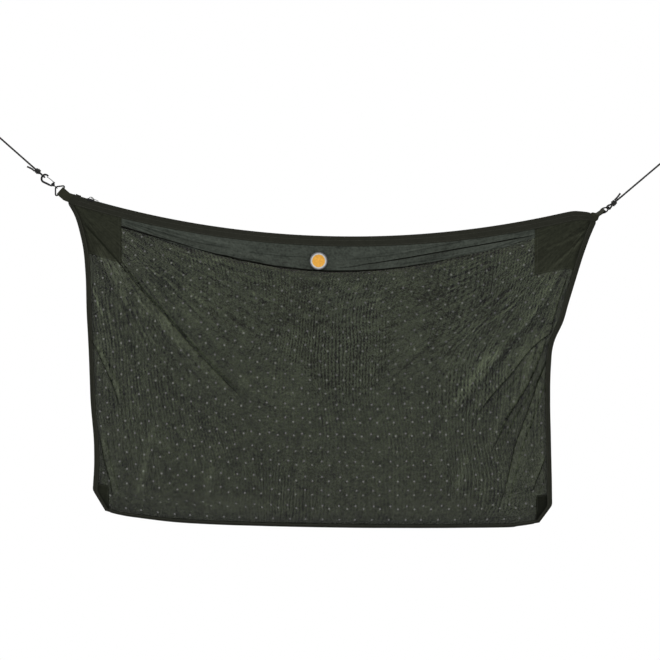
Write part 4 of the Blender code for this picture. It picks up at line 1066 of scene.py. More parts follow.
def ribbon(name, side, pixels, width, layer, finish, swell, ends):
    """A narrow strip along a line of the photograph, its ends tapered over shares of its length."""
    line = smooth_line(pixel_places(pixels), 0.004)
    across = unit(np.cross(runs(line), BACK))
    share = np.linspace(0, 1, len(line))
    tapered = np.minimum((share + 0.01) / (ends[0] + 0.01), (1.01 - share) / (ends[1] + 0.01))
    half = width / 2 * np.minimum(1, tapered)
    places = line[:, None] + across[:, None] * (half[:, None] * np.linspace(-1, 1, 7))[..., None]
    u, v = plan.shares_at(places)
    return strip(name, side, u, v, layer, finish, swell)


def seam_line(side, u, v, offset=2 * CLOTH + GAP):
    """Keeps a line on the cloth for the stitches."""
    seams.append(surfaces[side].at(u, v, offset))


class SackClothSettings(bpy.types.PropertyGroup):
    hole_radius: FloatProperty(name="Hole radius", description="Radius of the drain holes",
                               default=0.0027, min=0.0005, max=0.004, unit="LENGTH")
    fold_height: FloatProperty(name="Fold height", description="Share of the tension folds' height",
                               default=1.0, min=0.0, max=2.0)
    slack: FloatProperty(name="Slack", description="How much larger the cloth is than its hung shape",
                         default=0.006, min=0.0, max=0.1)
    settle_frames: IntProperty(name="Settling steps", description="Steps of the cloth simulation",
                               default=24, min=1, max=100)
    settle_limit: FloatProperty(name="Settling limit", description="Farthest that cloth moves as it settles",
                                default=0.008, min=0.0, max=0.02, unit="LENGTH")
    mesh_colour: FloatVectorProperty(name="Mesh", description="Colour of the mesh cloth",
                                     default=(0.0306, 0.0362, 0.0220), **COLOUR)
    hem_colour: FloatVectorProperty(name="Hem", description="Colour of the doubled hem band",
                                    default=(0.0425, 0.0488, 0.0405), **COLOUR)
    patch_colour: FloatVectorProperty(name="Patches", description="Colour of the corner patches",
                                      default=(0.0200, 0.0218, 0.0145), **COLOUR)
    mesh_cover: FloatProperty(name="Mesh cover", description="Share of light that one face of mesh stops",
                              default=0.64, min=0.1, max=1.0, subtype="FACTOR")


class SackTrimSettings(bpy.types.PropertyGroup):
    tape_colour: FloatVectorProperty(name="Tape", description="Colour of the bindings and zip tapes",
                                     default=(0.0168, 0.0174, 0.0128), **COLOUR)
    webbing_colour: FloatVectorProperty(name="Webbing", description="Colour of the webbing",
                                        default=(0.0235, 0.0243, 0.0160), **COLOUR)
    thread_colour: FloatVectorProperty(name="Thread", description="Colour of the stitches",
                                       default=(0.035, 0.038, 0.027), **COLOUR)
    stitch_pitch: FloatProperty(name="Stitch", description="Length of one stitch",
                                default=0.0035, min=0.001, max=0.01, unit="LENGTH")
    thread_radius: FloatProperty(name="Thread radius", description="Radius of the sewing thread",
                                 default=0.0003, min=0.0001, max=0.001, unit="LENGTH")
    tooth_pitch: FloatProperty(name="Tooth pitch", description="Distance from tooth to tooth of the zip",
                               default=0.0025, min=0.001, max=0.01, unit="LENGTH")
    badge_colour: FloatVectorProperty(name="Round patch", description="Colour of the round patch",
                                      default=(0.62, 0.30, 0.035), **COLOUR)
    badge_ring_colour: FloatVectorProperty(name="Patch ring", description="Colour of the patch's pale ring",
                                           default=(0.42, 0.43, 0.42), **COLOUR)
    badge_rim_colour: FloatVectorProperty(name="Patch rim", description="Colour of the patch's sewn rim",
                                          default=(0.12, 0.12, 0.13), **COLOUR)


class SackRigSettings(bpy.types.PropertyGroup):
    metal_colour: FloatVectorProperty(name="Metal", description="Colour of the blackened metal",
                                      default=(0.012, 0.012, 0.0125), **COLOUR)
    bare_colour: FloatVectorProperty(name="Bare metal", description="Colour of worn edges",
                                     default=(0.11, 0.107, 0.10), **COLOUR)
    cord_colour: FloatVectorProperty(name="Cord", description="Colour of the cords",
                                     default=(0.007, 0.007, 0.0065), **COLOUR)
    braid_relief: FloatProperty(name="Braid relief", default=0.09,
                                description="Depth of the braid as a share of the radius",
                                min=0.0, max=0.3)


class SackStageSettings(bpy.types.PropertyGroup):
    camera_distance: FloatProperty(name="Camera distance", description="Distance of the camera from the sack",
                                   default=6.0, min=2.0, max=20.0, unit="LENGTH")
    sky_level: FloatProperty(name="Sky", description="Strength of the even light",
                             default=0.62, min=0.0, max=3.0)
    key_power: FloatProperty(name="Key lamp", description="Power of the large lamp above the front",
                             default=62.0, min=0.0, max=1000.0)


# Operators

class SACK_OT_finishes(bpy.types.Operator):
    """Make the finishes of the cloth, trims, cords and metal"""
    bl_idname = "sack.finishes"
    bl_label = "Finishes"

    def execute(self, context):
        cloth, trim, rig = (getattr(context.scene, g) for g in ("sack_cloth", "sack_trim", "sack_rig"))
        mesh_finish("mesh cloth", cloth.mesh_colour, cloth.mesh_cover, 1.0, 3.2, 4.6, 1.0)
        mesh_finish("double mesh", cloth.patch_colour, 1.0, 0.05, 0.3, 2.0, 0.4)
        mesh_finish("hem mesh", cloth.hem_colour, 1.0, 0.05, 0.4, 2.2, 0.5)
        woven_finish("tape", trim.tape_colour, 0.0012, 0.0012, 0.0001)
        woven_finish("webbing", trim.webbing_colour, 0.0024, 0.0017, 0.00025)
        speckled("thread", trim.thread_colour, 0.6, 900, 0.00002)
        speckled("cord", rig.cord_colour, 0.7, 1500, 0.00005)
        # Painted shade: the mesh colour at three tenths, for the dark strips in the sharp folds
        speckled("deep fold", [c * 0.3 for c in cloth.mesh_colour], 0.9, 300, 0.00005, 0.05)
        # Painted shadow: the tape colour at a quarter, for the strips along the hem
        speckled("shaded roll", [c * 0.25 for c in trim.tape_colour], 0.9, 300, 0.00005, 0.05)
        speckled("plastic", (0.012, 0.012, 0.012), 0.42, 800, 0.00002, 0.45)
        worn_metal("metal", rig.metal_colour, rig.bare_colour)
        for part in ("badge", "badge_ring", "badge_rim"):
            speckled(part.replace("_", " "), getattr(trim, f"{part}_colour"), 0.65, 260, 0.00005)
        return {"FINISHED"}


class SACK_OT_stage(bpy.types.Operator):
    """Place the camera, the lamps, the floor and the white surround"""
    bl_idname = "sack.stage"
    bl_label = "Stage"

    def execute(self, context):
        scene, settings = context.scene, context.scene.sack_stage
        middle = Vector(pixel_places([FRAME_PIXELS / 2] * 2)[0])
        camera = linked("camera", bpy.data.cameras.new("camera"))
        camera.location = middle - Vector((0, settings.camera_distance, 0))
        camera.rotation_euler = (pi / 2, 0, 0)
        camera.data.sensor_fit = "HORIZONTAL"
        camera.data.angle = 2 * atan2(FRAME_PIXELS * PIXEL / 2, settings.camera_distance)
        scene.camera = camera
        for name, place, size, share in LAMPS:
            lamp = linked(name, bpy.data.lights.new(name, "AREA"))
            lamp.data.size = size
            lamp.data.energy = settings.key_power * share
            lamp.location = place
            lamp.rotation_euler = (middle - Vector(place)).to_track_quat("-Z", "Y").to_euler()
        scene.world = bpy.data.worlds.new("surround")
        scene.world.use_nodes = True
        self.white_where_seen(scene.world.node_tree, settings.sky_level)
        floor = mesh_object("floor", [(x, y, FLOOR_HEIGHT) for x, y in FLOOR_CORNERS], [(0, 1, 2, 3)],
                            smooth=False)
        pale = bpy.data.materials.new("pale floor")
        pale.use_nodes = True
        pale.node_tree.nodes["Principled BSDF"].inputs["Base Color"].default_value = (0.9, 0.9, 0.9, 1)
        floor.data.materials.append(pale)
        scene.view_settings.view_transform = "Standard"
        return {"FINISHED"}

    @staticmethod
    def white_where_seen(tree, sky_level):
        """Lights with the sky's level, but shows white to the camera, in mirrors and through cloth."""
        light = tree.nodes["Background"]
        light.inputs["Color"].default_value = WHITE
        light.inputs["Strength"].default_value = sky_level
        seen = add_node(tree, "ShaderNodeBackground", {"Color": WHITE, "Strength": 1.0})
        rays = add_node(tree, "ShaderNodeLightPath").node.outputs
        straight = Level(tree, rays["Is Camera Ray"])
        for kind in ("Glossy", "Transmission"):
            straight = straight.math("MAXIMUM", rays[f"Is {kind} Ray"])
        mixed = add_node(tree, "ShaderNodeMixShader", {"Fac": straight, 1: light.outputs[0], 2: seen})
        tree.links.new(mixed, tree.nodes["World Output"].inputs["Surface"])


def tube(name, path, radius, finish, relief=0.0):
    """A closed cord or wire along a path, with the crossed strands of a braid as relief."""
    path = np.asarray(path, float)
    tangent, steps = unit(runs(path)), travelled(path)
    normal = np.cross(tangent[0], BACK if abs(tangent[0] @ BACK) < 0.9 else UP)
    angles = 2 * pi * np.arange(CORD_SIDES) / CORD_SIDES
    around = np.stack([np.cos(angles), np.sin(angles)], -1)
    points, uv = [], []
    for place, way, step in zip(path, tangent, steps):
        normal = unit(normal - (normal @ way) * way)
        lay = step * BRAID_LAYS / (radius * 2 * pi)
        strands = np.maximum(np.abs(np.cos(2 * angles + lay)), np.abs(np.cos(2 * angles - lay)))
        reach = radius * (1 + relief * (strands - 0.86) * 3.4)
        points.append(place + reach[:, None] * (around @ np.stack([normal, np.cross(way, normal)])))
        uv.append(np.stack([np.full(CORD_SIDES, step), angles * radius], -1))
    index, faces = ring_faces(len(path), CORD_SIDES)
    faces += [index[0, ::-1].tolist(), index[-1].tolist()]
    made = mesh_object(name, np.concatenate(points), faces, finish, np.concatenate(uv))
    made.data.set_sharp_from_angle(angle=radians(60))
    return made


def moved(points, place):
    points = np.asarray(points, float)
    matrix = np.array(place)
    return points @ matrix[:3, :3].T + matrix[:3, 3]


def frame_of(x_axis, y_axis, origin):
    x_axis = unit(x_axis)
    y_axis = unit(y_axis - (y_axis @ x_axis) * x_axis)
    matrix = np.eye(4)
    matrix[:3] = np.stack([x_axis, y_axis, np.cross(x_axis, y_axis), origin], 1)
    return matrix


def ring_half_width():
    half = WEBBING_WIDTH / 2
    for _ in range(12):
        half = WEBBING_WIDTH / 2 + GAP + RING_CORNER / tan(atan2(RING_HEIGHT, half) / 2)
    return half


def ring_tip():
    half_angle = atan2(ring_half_width(), RING_HEIGHT)
    return RING_HEIGHT - RING_TIP * (1 / sin(half_angle) - 1)


def hook_bend():
    eye = ring_tip() - RING_WIRE - RING_PLAY + EYE_RADIUS - EYE_WIRE
    return eye + EYE_RADIUS + EYE_WIRE + EYE_NECK + HOOK_REACH


def left_frame():
    outward = direction(RIG_ANGLE, -1)
    return frame_of(outward, np.array((-outward[2], 0, outward[0])), np.zeros(3))


def right_bar_direction():
    angle, twist = radians(RIGHT_WEBBING_ANGLE), radians(RIGHT_WEBBING_TWIST)
    return np.array((-sin(angle), 0, cos(angle))) * cos(twist) + BACK * sin(twist)


def right_frame():
    return frame_of(-RIGHT_WAY, right_bar_direction(), RIGHT_BAR)


def quarter_turn(matrix):
    """Turns a placing matrix by 90 degrees about its own X."""
    turn = np.eye(4)
    turn[1:3, 1:3] = ((0, -1), (1, 0))
    return matrix @ turn


class SACK_OT_cords(bpy.types.Operator):
    """Make the two tied cords with their knots, tails and end loops"""
    bl_idname = "sack.cords"
    bl_label = "Cords"

    def execute(self, context):
        left, right = left_frame(), right_frame()
        at_bend = left.copy()
        at_bend[:3, 3] = moved([(hook_bend(), 0, 0)], left)[0]
        outward, bar = direction(CORD_ANGLE_RIGHT, 1), right_bar_direction()
        at_tip = frame_of(outward - (outward @ bar) * bar, bar, moved([(ring_tip(), 0, 0)], right)[0])
        relief = context.scene.sack_rig.braid_relief
        self.make_run("left", at_bend, at_bend, HOOK_WIRE, LEFT_CORD_LENGTH, relief)
        self.make_run("right", at_tip, quarter_turn(at_tip), RING_WIRE, RIGHT_CORD_LENGTH, relief)
        return {"FINISHED"}

    def make_run(self, hand, loop_place, place, wire, length, relief):
        def on_line(piece, node):
            return placed(piece, f"{hand}_line", "black_cord", f"{hand}_{node}")

        def laid(name, line, node, where=place):
            return on_line(tube(f"{hand}_{name}", moved(line, where), CORD, finishes["cord"], relief), node)

        radius = wire + LOOP_PLAY + CORD
        spread = max(LEG_SPREAD, CORD + GAP / 2)
        start = radius + KNOT_STANDOFF
        ends = start + KNOT_BITE
        leg = [(ends, 0, spread), (ends - CORD * 0.7, 0, spread), (ends * 0.4, 0, (spread + radius) / 2)]
        bend = [(radius * cos(a), 0, radius * sin(a)) for a in np.linspace(pi / 2, 3 * pi / 2, 25)]
        loop = leg + bend + [(x, 0, -z) for x, _, z in leg[::-1]]
        tie = laid("tie", smooth_line(loop, CORD_STEP), "tie_loop", loop_place)
        knot = on_line(self.knot(f"{hand}_wound_knot", start, place, relief), "knot")
        knot_end, beside = start + KNOT_LENGTH, 2 * CORD + GAP
        tail_line = [(knot_end + reach, beside + out, 0) for reach, out in (
            (-KNOT_BITE, 0), (TAIL_LENGTH / 3, 0.0006), (TAIL_LENGTH * 0.7, 0.0024), (TAIL_LENGTH, 0.0042))]
        tail = laid("tail", smooth_line(tail_line, CORD_STEP), "cord_tail")
        first, last = knot_end + GAP - KNOT_BITE, knot_end + GAP + length + KNOT_BITE
        line = [(x, 0, 0) for x in np.linspace(first, last, ceil(length / CORD_STEP))]
        path = moved(line, place)
        run = laid("braid", line, "cord")
        far = knot_end + length + 2 * GAP
        far_knot = on_line(self.knot(f"{hand}_wound_end_knot", far, place, relief), "end_knot")
        root = far + KNOT_LENGTH + GAP
        upper = [(root - KNOT_BITE, spread, 0), (root + CORD, spread, 0)]
        upper += [(root + END_LOOP_LENGTH * reach, END_LOOP_HALF_WIDTH * wide, 0)
                  for reach, wide in ((0.5, 0.85), (0.78, 1.0), (0.96, 0.55), (1.0, 0.0))]
        end_loop = upper + [(x, -y, z) for x, y, z in reversed(upper[:-1])]
        far_loop = laid("far_loop", smooth_line(end_loop, CORD_STEP), "end_loop")
        tuple(path[0])
        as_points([tuple(p) for p in path[::8]] + [tuple(path[-1])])

    @staticmethod
    def knot(name, start, place, relief):
        """Turns of cord wound over a core, drawn in at both ends."""
        line = []
        for t in np.linspace(0, 1, 121):
            reach = (KNOT_RADIUS - CORD) * min(1, 0.35 + 6 * t, 0.35 + 6 * (1 - t))
            angle = 2 * pi * KNOT_TURNS * t
            line.append((start + CORD + (KNOT_LENGTH - 2 * CORD) * t, reach * cos(angle), reach * sin(angle)))
        core = [(x, 0, 0) for x in np.linspace(start, start + KNOT_LENGTH, 12)]
        wound = tube(name + "_turns", moved(line, place), CORD, finishes["cord"], relief)
        inside = tube(name + "_core", moved(core, place), CORD * 1.25, finishes["cord"])
        return joined(name, [wound, inside])


class SACK_OT_panels(bpy.types.Operator):
    """Make the front and back panels of perforated mesh with their folds"""
    bl_idname = "sack.panels"
    bl_label = "Panels"

    def execute(self, context):
        settings = context.scene.sack_cloth
        make_surfaces(settings)
        tree = geometry_tree("Drain holes", [("Hole radius", "NodeSocketFloat", 0.0015)], drain_holes)
        for side, name in SIDES:
            panel_piece(side, name, settings, tree)
        for side, name in SIDES:
            self.creases(side, name)
        return {"FINISHED"}

    @staticmethod
    def creases(side, name):
        """Dark strips of painted shade laid along the sharp folds, where the cloth is pinched together."""
        shift = np.array((BACK_FOLD_SHIFT[0], -BACK_FOLD_SHIFT[2])) * (side > 0) / PIXEL
        shade_strips = []
        for number, (kind, _, strength, pixels) in enumerate(FOLDS):
            if kind in FOLD_SHADE_STRIPS:
                width, layer = FOLD_SHADE_STRIPS[kind]
                line = np.reshape(pixels, (-1, 2)) + shift
                shade_strips.append(ribbon(f"pinch_{number}", side, line, width * strength, layer,
                                      finishes["deep fold"], 0.0006, (0.3, 0.5)))
        placed(joined(f"{name}_creases", shade_strips), "sack", "mesh_cloth")


class SACK_OT_hems(bpy.types.Operator):
    """Make the hem bands with their rolled edges, dark with painted shadow, and the corner patches, front and
    back
    """
    bl_idname = "sack.hems"
    bl_label = "Hems and patches"

    def execute(self, context):
        for side, name in SIDES:
            self.hem(side, name)
            for hand in ("left", "right"):
                self.top_patch(side, name, hand)
                self.corner_patch(side, name, hand)
        # A narrow strip along a pleat of the hem, in the same painted-shadow finish as the rolled edge
        pleat = ribbon("hem_pleat", -1, HEM_PLEAT, 0.0026, 2, finishes["shaded roll"], 0.0008, (0.3, 0.1))
        placed(pleat, "sack", "mesh_cloth")
        for number, (pixels, width) in enumerate(HEM_STREAKS, 1):
            raised = ribbon(f"hem_streak_{number}", -1, pixels, width, 2, finishes["hem mesh"], 0.0014,
                            (0.4, 0.4))
            placed(raised, "sack", "mesh_cloth")
        return {"FINISHED"}

    @staticmethod
    def between_edges(t, s, low_edge, high_edge, foot):
        """Shares for a piece between two upright lines, from its foot line to the top edge."""
        u, v = np.broadcast_arrays(s, t)
        for _ in range(4):
            v = foot(u) * (1 - t) + t
            low, high = low_edge(v), high_edge(v)
            u = low + (high - low) * s
        return u, v

    def hem(self, side, name):
        inset = SEAM / plan.width
        left, right = (lambda v, x=x: plan.column_at(v, x) for x in TOP_PATCH_EDGE)
        s, t = np.linspace(0, 1, 261)[None, :], np.linspace(0, 1, 19)[:, None]
        u, v = self.between_edges(t, s, lambda v: left(v) + inset, lambda v: right(v) - inset, plan.hem_share)
        band = strip(f"{name}_hem_band", side, u, v, 1, finishes["hem mesh"])
        placed(band, "sack", "mesh_cloth", f"{name}_hem")
        # The rolled edge along the hem's foot: a raised strip coloured as painted shadow under the hem
        across = np.linspace(u[0, 0], u[0, -1] - 0.12, 240)[:, None]
        thin = np.minimum(1, (across[-1] - across) / 0.25 + 0.12)
        roll_v = plan.hem_share(across) - HEM_SHADOW_ROLL[0] + np.linspace(0, HEM_SHADOW_ROLL[1], 7) * thin
        roll = strip(f"{name}_hem_roll", side, across, roll_v, 2, finishes["shaded roll"], 0.0016)
        placed(roll, "sack", "dark_tape")
        for row in HEM_SEAMS:
            seam_line(side, u[0], plan.hem_share(u[0]) * (1 - row) + row)

    def top_patch(self, side, name, hand):
        binding_u, inset = BINDING_WIDTH / plan.width, SEAM / plan.width
        s, t = np.linspace(0, 1, 37)[None, :], np.linspace(0, 1, 45)[:, None]
        if hand == "left":
            edges = (lambda v: binding_u + inset), (lambda v: plan.column_at(v, TOP_PATCH_EDGE[0]))
        else:
            edges = (lambda v: plan.column_at(v, TOP_PATCH_EDGE[1])), (lambda v: 1 - binding_u - inset)
        u, v = self.between_edges(t, s, *edges, plan.patch_share)
        patch = strip(f"{name}_patch_{hand}", side, u, v, 1, finishes["double mesh"])
        placed(patch, "sack", "double_mesh", f"{name}_top_patch_{hand}")
        column = -3 if hand == "left" else 2
        seam_line(side, u[1:, column], v[1:, column])
        seam_line(side, u[1, 1:-1], v[1, 1:-1])

    def corner_patch(self, side, name, hand):
        binding_u, corner_u = BINDING_WIDTH / plan.width, CORNER_PATCH_WIDTH / plan.width
        low = BOTTOM_BINDING + SEAM
        cuts = np.array((CORNER_CUT[0][1], (CORNER_CUT[0][1] + CORNER_CUT[1][1]) / 2, CORNER_CUT[1][1]))
        rows = []
        for t in np.linspace(0, 1, 25):
            s = t * 2 - (t >= 0.5)
            wide, heights = corner_u, cuts + (CORNER_PATCH_RISE - cuts) * s
            if t < 0.5:
                wide = binding_u + (corner_u - binding_u) * (CORNER_PATCH_FOOT * (1 - s) + s)
                heights = low + (cuts - low) * s
            u = np.linspace(binding_u + SEAM / plan.width, wide, 13)
            u = u if hand == "left" else 1 - u[::-1]
            rows.append((u, plan.share_above(u, heights)))
        u, v = (np.array(values) for values in zip(*rows))
        # Painted shade: this level scales down the panel's painted shading on the corner patch
        tone = CORNER_PATCH_SHADE[hand]
        patch = strip(f"{name}_corner_patch_{hand}", side, u, v, 1, finishes["double mesh"], level=tone)
        placed(patch, "sack", "double_mesh", f"{name}_bottom_patch_{hand}")
        column = -2 if hand == "left" else 1
        seam_line(side, u[1:, column], v[1:, column])
        seam_line(side, u[-2], v[-2])


def folded_tape(name, node, u, v, toward, flip):
    """A tape folded over an edge of the sack; u and v have a row for each station, the edge last."""
    front, back = surfaces[-1], surfaces[1]
    outward = square_to(runs(front.at(u[:, -1], v[:, -1])), toward)
    layers = []
    for offset, push in ((CLOTH + GAP, GAP), (2 * CLOTH + GAP, GAP + CLOTH)):
        fronts, backs = front.at(u, v, offset), back.at(u, v, offset)
        middle, half = (fronts[:, -1] + backs[:, -1]) / 2, (fronts[:, -1] - backs[:, -1]) / 2
        arc = [middle + half * cos(p) + outward * (push * sin(p)) for p in np.linspace(0, pi, 7)[1:-1]]
        layers.append(np.concatenate([fronts, np.stack(arc, 1), backs[:, ::-1]], axis=1))
    lengths = travelled(layers[1][:, 0])[:, None]
    uv = np.stack(np.broadcast_arrays(lengths, travelled(layers[1])), -1)
    placed(closed_sheet(name, *layers, uv, finishes["tape"], flip), "sack", "dark_tape", node)


class SACK_OT_bindings(bpy.types.Operator):
    """Make the tapes that bind the sides and the bottom"""
    bl_idname = "sack.bindings"
    bl_label = "Bindings"

    def execute(self, context):
        width = BINDING_WIDTH / plan.width
        for hand, edge, inside, side in (("left", 0.0, width, -1), ("right", 1.0, 1 - width, 1)):
            top = plan.tape_share(edge)
            shares = np.broadcast_arrays(np.linspace(inside, edge, 5), np.linspace(0, 1, 150)[:, None] * top)
            toward = np.array((side, 0, 0))
            folded_tape(f"{hand}_binding", f"{hand}_side_binding", *shares, toward, side > 0)
            sewn = np.full(160, inside + BINDING_SEAM / plan.width * side)
            for face in (-1, 1):
                seam_line(face, sewn, np.linspace(0.012, top - 0.01, 160))
        inset = width + 3 * SEAM / plan.width
        along_foot = np.linspace(inset, 1 - inset, 230)
        rise = plan.share_above(along_foot, (BOTTOM_BINDING,) * 3)
        shares = np.broadcast_arrays(along_foot[:, None], rise[:, None] * np.linspace(1, 0, 4))
        folded_tape("bottom_tape", "bottom_binding", *shares, -UP, True)
        for face in (-1, 1):
            seam_line(face, along_foot, rise * 0.75)
        return {"FINISHED"}


class SACK_OT_zip(bpy.types.Operator):
    """Make the zip: tapes, teeth, folded ends, slider and pull"""
    bl_idname = "sack.zip"
    bl_label = "Zip"

    def execute(self, context):
        pitch = context.scene.sack_trim.tooth_pitch
        tree = geometry_tree("Zip teeth", [("Pitch", "NodeSocketFloat", 0.0025),
                                           ("Tooth size", "NodeSocketVector", TOOTH_SIZE)], zip_teeth)
        for side, name in SIDES:
            self.tape(side, name)
            shift = pitch / 2 if side > 0 else 0
            start = ZIP_START + ZIP_END_LENGTH[0] + 2 * GAP + shift
            end = ZIP_START + ZIP_SPAN - ZIP_END_LENGTH[1] - 2 * GAP
            line = np.array([zip_point(x) for x in np.linspace(start, end, 400)])
            line += (0, side * TOOTH_OFFSET[0], -TOOTH_OFFSET[1])
            piece = line_object(f"{name}_teeth", [line])
            run_tree(piece, tree, {"Pitch": pitch, "Finish": finishes["plastic"]})
            placed(piece, "sack", "black_plastic", f"zip_chain_{name}")
        for hand in ("left", "right"):
            solid_copy(f"zip_end_{hand}", f"zip_fold_{hand}", "sack", "dark_tape", finishes["tape"], 0.0005)
        for part, grain in (("slider", 0.00028), ("pull", 0.00022)):
            solid_copy(f"zip_{part}", part, f"zip_{part}", "black_metal", finishes["metal"], grain)
        return {"FINISHED"}

    @staticmethod
    def tape(side, name):
        u, low = np.linspace(0, 1, 281), 2 * (CLOTH + GAP)
        share = np.linspace(0, 1, 6)[:, None]
        v = plan.tape_share(u) * (1 - share) + share
        rise = (along(plan.crest, u) - along(plan.top, u)) * np.array((0.5, 1.0))[:, None, None]
        faces = [surfaces[side].at(u, v, offset) for offset in (low, low + CLOTH)]
        layers = [np.concatenate([face, face[-1] + rise]) for face in faces]
        lengths = np.array(TAPE_LENGTHS)[:, None]
        uv = np.stack(np.broadcast_arrays(u * plan.width, lengths), -1)
        tape = closed_sheet(f"{name}_zip_tape", *layers, uv, finishes["tape"], flip=side > 0)
        placed(tape, "sack", "dark_tape", f"zip_tape_{name}")
        inside = u[4:-4]
        seam_line(side, inside, plan.tape_share(inside) + 0.0035, low + CLOTH)
        seam_line(side, inside, np.full(len(inside), 0.992), low + CLOTH)


def solid_copy(node, name, body, slot, finish, grain, smooth=4):
    """A cast or pressed copy of a frame node: fused, with its edges softened."""
    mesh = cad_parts[node].data.copy()
    reworked(mesh, lambda work: bmesh.ops.remove_doubles(work, verts=work.verts, dist=1e-6))
    mesh.materials.clear()
    mesh.materials.append(finish)
    piece = linked(name, mesh)
    fused = piece.modifiers.new("Fuse", "REMESH")
    fused.mode = "VOXEL"
    fused.voxel_size = grain
    piece.modifiers.new("Soften", "SMOOTH").iterations = smooth
    applied(piece)
    piece.data.shade_smooth()
    placed(piece, body, slot, node)


class SACK_OT_badge(bpy.types.Operator):
    """Make the bare round patch with its sewn rim"""
    bl_idname = "sack.badge"
    bl_label = "Round patch"

    def execute(self, context):
        centre = np.mean(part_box("badge"), axis=0)
        place = frame_of(np.array((1.0, 0, 0.0031)), np.cross(BADGE_NORMAL, (1, 0, 0)), centre)
        outward = np.sign(place[:3, 2] @ BADGE_NORMAL)
        share, rise = np.array(BADGE_RINGS).T[..., None]
        angles = 2 * pi * np.arange(BADGE_STEPS) / BADGE_STEPS
        thread = BADGE_THREAD * (np.arange(BADGE_STEPS) % 2) * (share > BADGE_FIELD)
        axes = np.cos(angles) * share * BADGE_RADIUS, np.sin(angles) * share * BADGE_RADIUS
        rings = np.stack([*axes, outward * (rise + thread)], -1).reshape(-1, 3)
        index, faces = ring_faces(len(BADGE_RINGS), BADGE_STEPS, 1)
        faces += [(0, a, b) for a, b in zip(index[0].tolist(), np.roll(index[0], -1).tolist())]
        faces.append(index[-1, ::-1].tolist())
        points = np.concatenate([[(0, 0, outward * 0.0002)], rings])
        made = mesh_object("round_patch", moved(points, place), faces, finishes["badge"])
        for extra in ("badge ring", "badge rim"):
            made.data.materials.append(finishes[extra])
        for face in made.data.polygons:
            reach = np.linalg.norm(np.array(face.center) - centre) / BADGE_RADIUS
            face.material_index = int(reach > BADGE_FIELD) + int(reach > BADGE_RIM)
        faced_out(made)
        placed(made, "sack", "badge", "badge")
        return {"FINISHED"}


def webbing_path(length):
    """The middle line of the folded webbing, as (distance from the bar, height) pairs."""
    radius = RING_WIRE + BAR_PLAY + WEBBING_THICKNESS / 2
    ply = GAP / 2 + WEBBING_THICKNESS / 2
    free = list(np.linspace(WEBBING_FREE, radius + WEBBING_NECK, 30))
    legs = list(np.linspace(length, WEBBING_FREE, 12)[:-1]) + free
    opening = radians(BAR_OPENING)
    turn = [(radius * cos(a), radius * sin(a)) for a in np.linspace(-opening, opening - 2 * pi, 31)]
    return np.array([(x, -ply) for x in legs] + turn + [(x, ply) for x in reversed(legs)])


class SACK_OT_webbing(bpy.types.Operator):
    """Make the two webbings folded round the bars of the rings"""
    bl_idname = "sack.webbing"
    bl_label = "Webbing"

    def execute(self, context):
        self.webbing("left", left_frame(), LEFT_WAY)
        self.webbing("right", right_frame(), RIGHT_WAY)
        return {"FINISHED"}

    @staticmethod
    def webbing(hand, ring, way):
        path = webbing_path(WEBBING_FREE + WEBBING_SEWN)
        bar, bar_way, bar_across = ring[:3, 3], -ring[:3, 0], ring[:3, 1]
        across = square_to(way, bar_across)
        turned_over = (WEBBING_FREE - RING_WIRE - BAR_PLAY - WEBBING_THICKNESS - WEBBING_NECK) * TWIST_SHARE
        half = WEBBING_WIDTH / 2
        wide_steps = np.linspace(-half, half, 9)
        thick = WEBBING_THICKNESS / 2 * (1 - 0.35 * np.abs(wide_steps / half) ** 6)
        run = unit(runs(path))[..., None]
        layers = []
        for face in (-1, 1):
            x = (path[:, :1] + face * run[:, 1] * thick)[..., None]
            height = (path[:, 1:] - face * run[:, 0] * thick)[..., None]
            share = eased((WEBBING_FREE - x) / turned_over)
            onward = way * (1 - share) + bar_way * share
            wide = unit(across * (1 - share) + bar_across * share)
            deep = unit(np.cross(wide, onward))
            layers.append(bar + onward * x + wide * wide_steps[:, None] + deep * height)
        uv = np.stack(np.broadcast_arrays(travelled(path)[:, None], wide_steps), -1)
        made = closed_sheet(f"{hand}_strap", *layers, uv, finishes["webbing"], sharp=60)
        faced_out(made)
        placed(made, "sack", "olive_webbing", f"{hand}_webbing")


class SACK_OT_hardware(bpy.types.Operator):
    """Make the rings, the swivel eye, the snap hook and its gate"""
    bl_idname = "sack.hardware"
    bl_label = "Rings and hook"

    def execute(self, context):
        for node, name, grain, smooth in METAL_PIECES:
            solid_copy(node, name, node, "black_metal", finishes["metal"], grain, smooth)
        return {"FINISHED"}


class SACK_OT_stitches(bpy.types.Operator):
    """Sew the rows of stitches along the hems, patches, tapes and bindings"""
    bl_idname = "sack.stitches"
    bl_label = "Stitches"

    def execute(self, context):
        trim = context.scene.sack_trim
        tree = geometry_tree("Stitches", [("Pitch", "NodeSocketFloat", 0.0035),
                                          ("Thread radius", "NodeSocketFloat", 0.0003)], sewn_threads)
        piece = line_object("stitches", seams)
        run_tree(piece, tree, {"Pitch": trim.stitch_pitch, "Thread radius": trim.thread_radius,
                               "Finish": finishes["thread"]})
        piece.data.shade_smooth()
        placed(piece, "sack", "dark_tape")
        return {"FINISHED"}


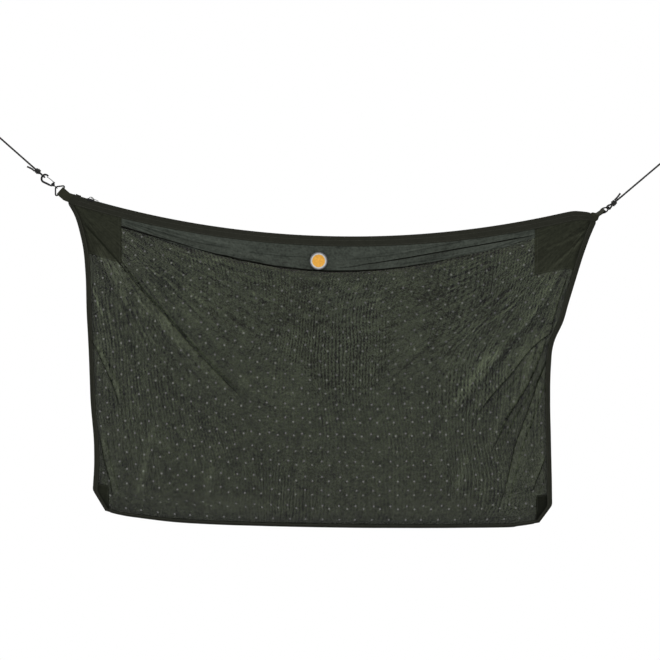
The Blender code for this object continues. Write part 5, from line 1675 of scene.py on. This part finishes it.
class SACK_OT_declare(bpy.types.Operator):
    bl_idname = "sack.declare"
    bl_label = "Cloth sizes"

    def execute(self, context):
        for _, name in SIDES:
            sewn = [f"{name}_hem_band", f"{name}_patch_left", f"{name}_patch_right", f"{name}_zip_tape",
                    f"{name}_corner_patch_left", f"{name}_corner_patch_right", f"{name}_hem_roll",
                    f"{name}_creases"]
            if name == "front":
                sewn += ["left_binding", "right_binding", "bottom_tape", "stitches", "round_patch"]
                sewn += ["hem_pleat"] + [f"hem_streak_{k}" for k in range(1, len(HEM_STREAKS) + 1)]
        return {"FINISHED"}


STEPS = ("finishes", "stage", "cords", "panels", "hems", "bindings", "zip", "badge", "webbing", "hardware",
         "stitches", "declare")


class SACK_PT_panel(bpy.types.Panel):
    """Sizes, colours and steps of the carp sack"""
    bl_idname = "SACK_PT_panel"
    bl_label = "Carp sack"
    bl_space_type = "VIEW_3D"
    bl_region_type = "UI"
    bl_category = "Carp sack"

    def draw(self, context):
        for group in GROUPS:
            settings = getattr(context.scene, group)
            for name in settings.__annotations__:
                self.layout.prop(settings, name)
        for step in STEPS:
            self.layout.operator(f"sack.{step}")


GROUPS = {"sack_cloth": SackClothSettings, "sack_trim": SackTrimSettings, "sack_rig": SackRigSettings,
          "sack_stage": SackStageSettings}
CLASSES = (*GROUPS.values(), SACK_OT_finishes, SACK_OT_stage, SACK_OT_cords, SACK_OT_panels, SACK_OT_hems,
           SACK_OT_bindings, SACK_OT_zip, SACK_OT_badge, SACK_OT_webbing, SACK_OT_hardware, SACK_OT_stitches,
           SACK_OT_declare, SACK_PT_panel)


def register():
    for item in CLASSES:
        bpy.utils.register_class(item)
    for name, group in GROUPS.items():
        setattr(bpy.types.Scene, name, bpy.props.PointerProperty(type=group))


def unregister():
    for name in GROUPS:
        delattr(bpy.types.Scene, name)
    for item in reversed(CLASSES):
        bpy.utils.unregister_class(item)


def main():
    register()
    for step in STEPS:
        getattr(bpy.ops.sack, step)()


if __name__ == "__main__":
    main()
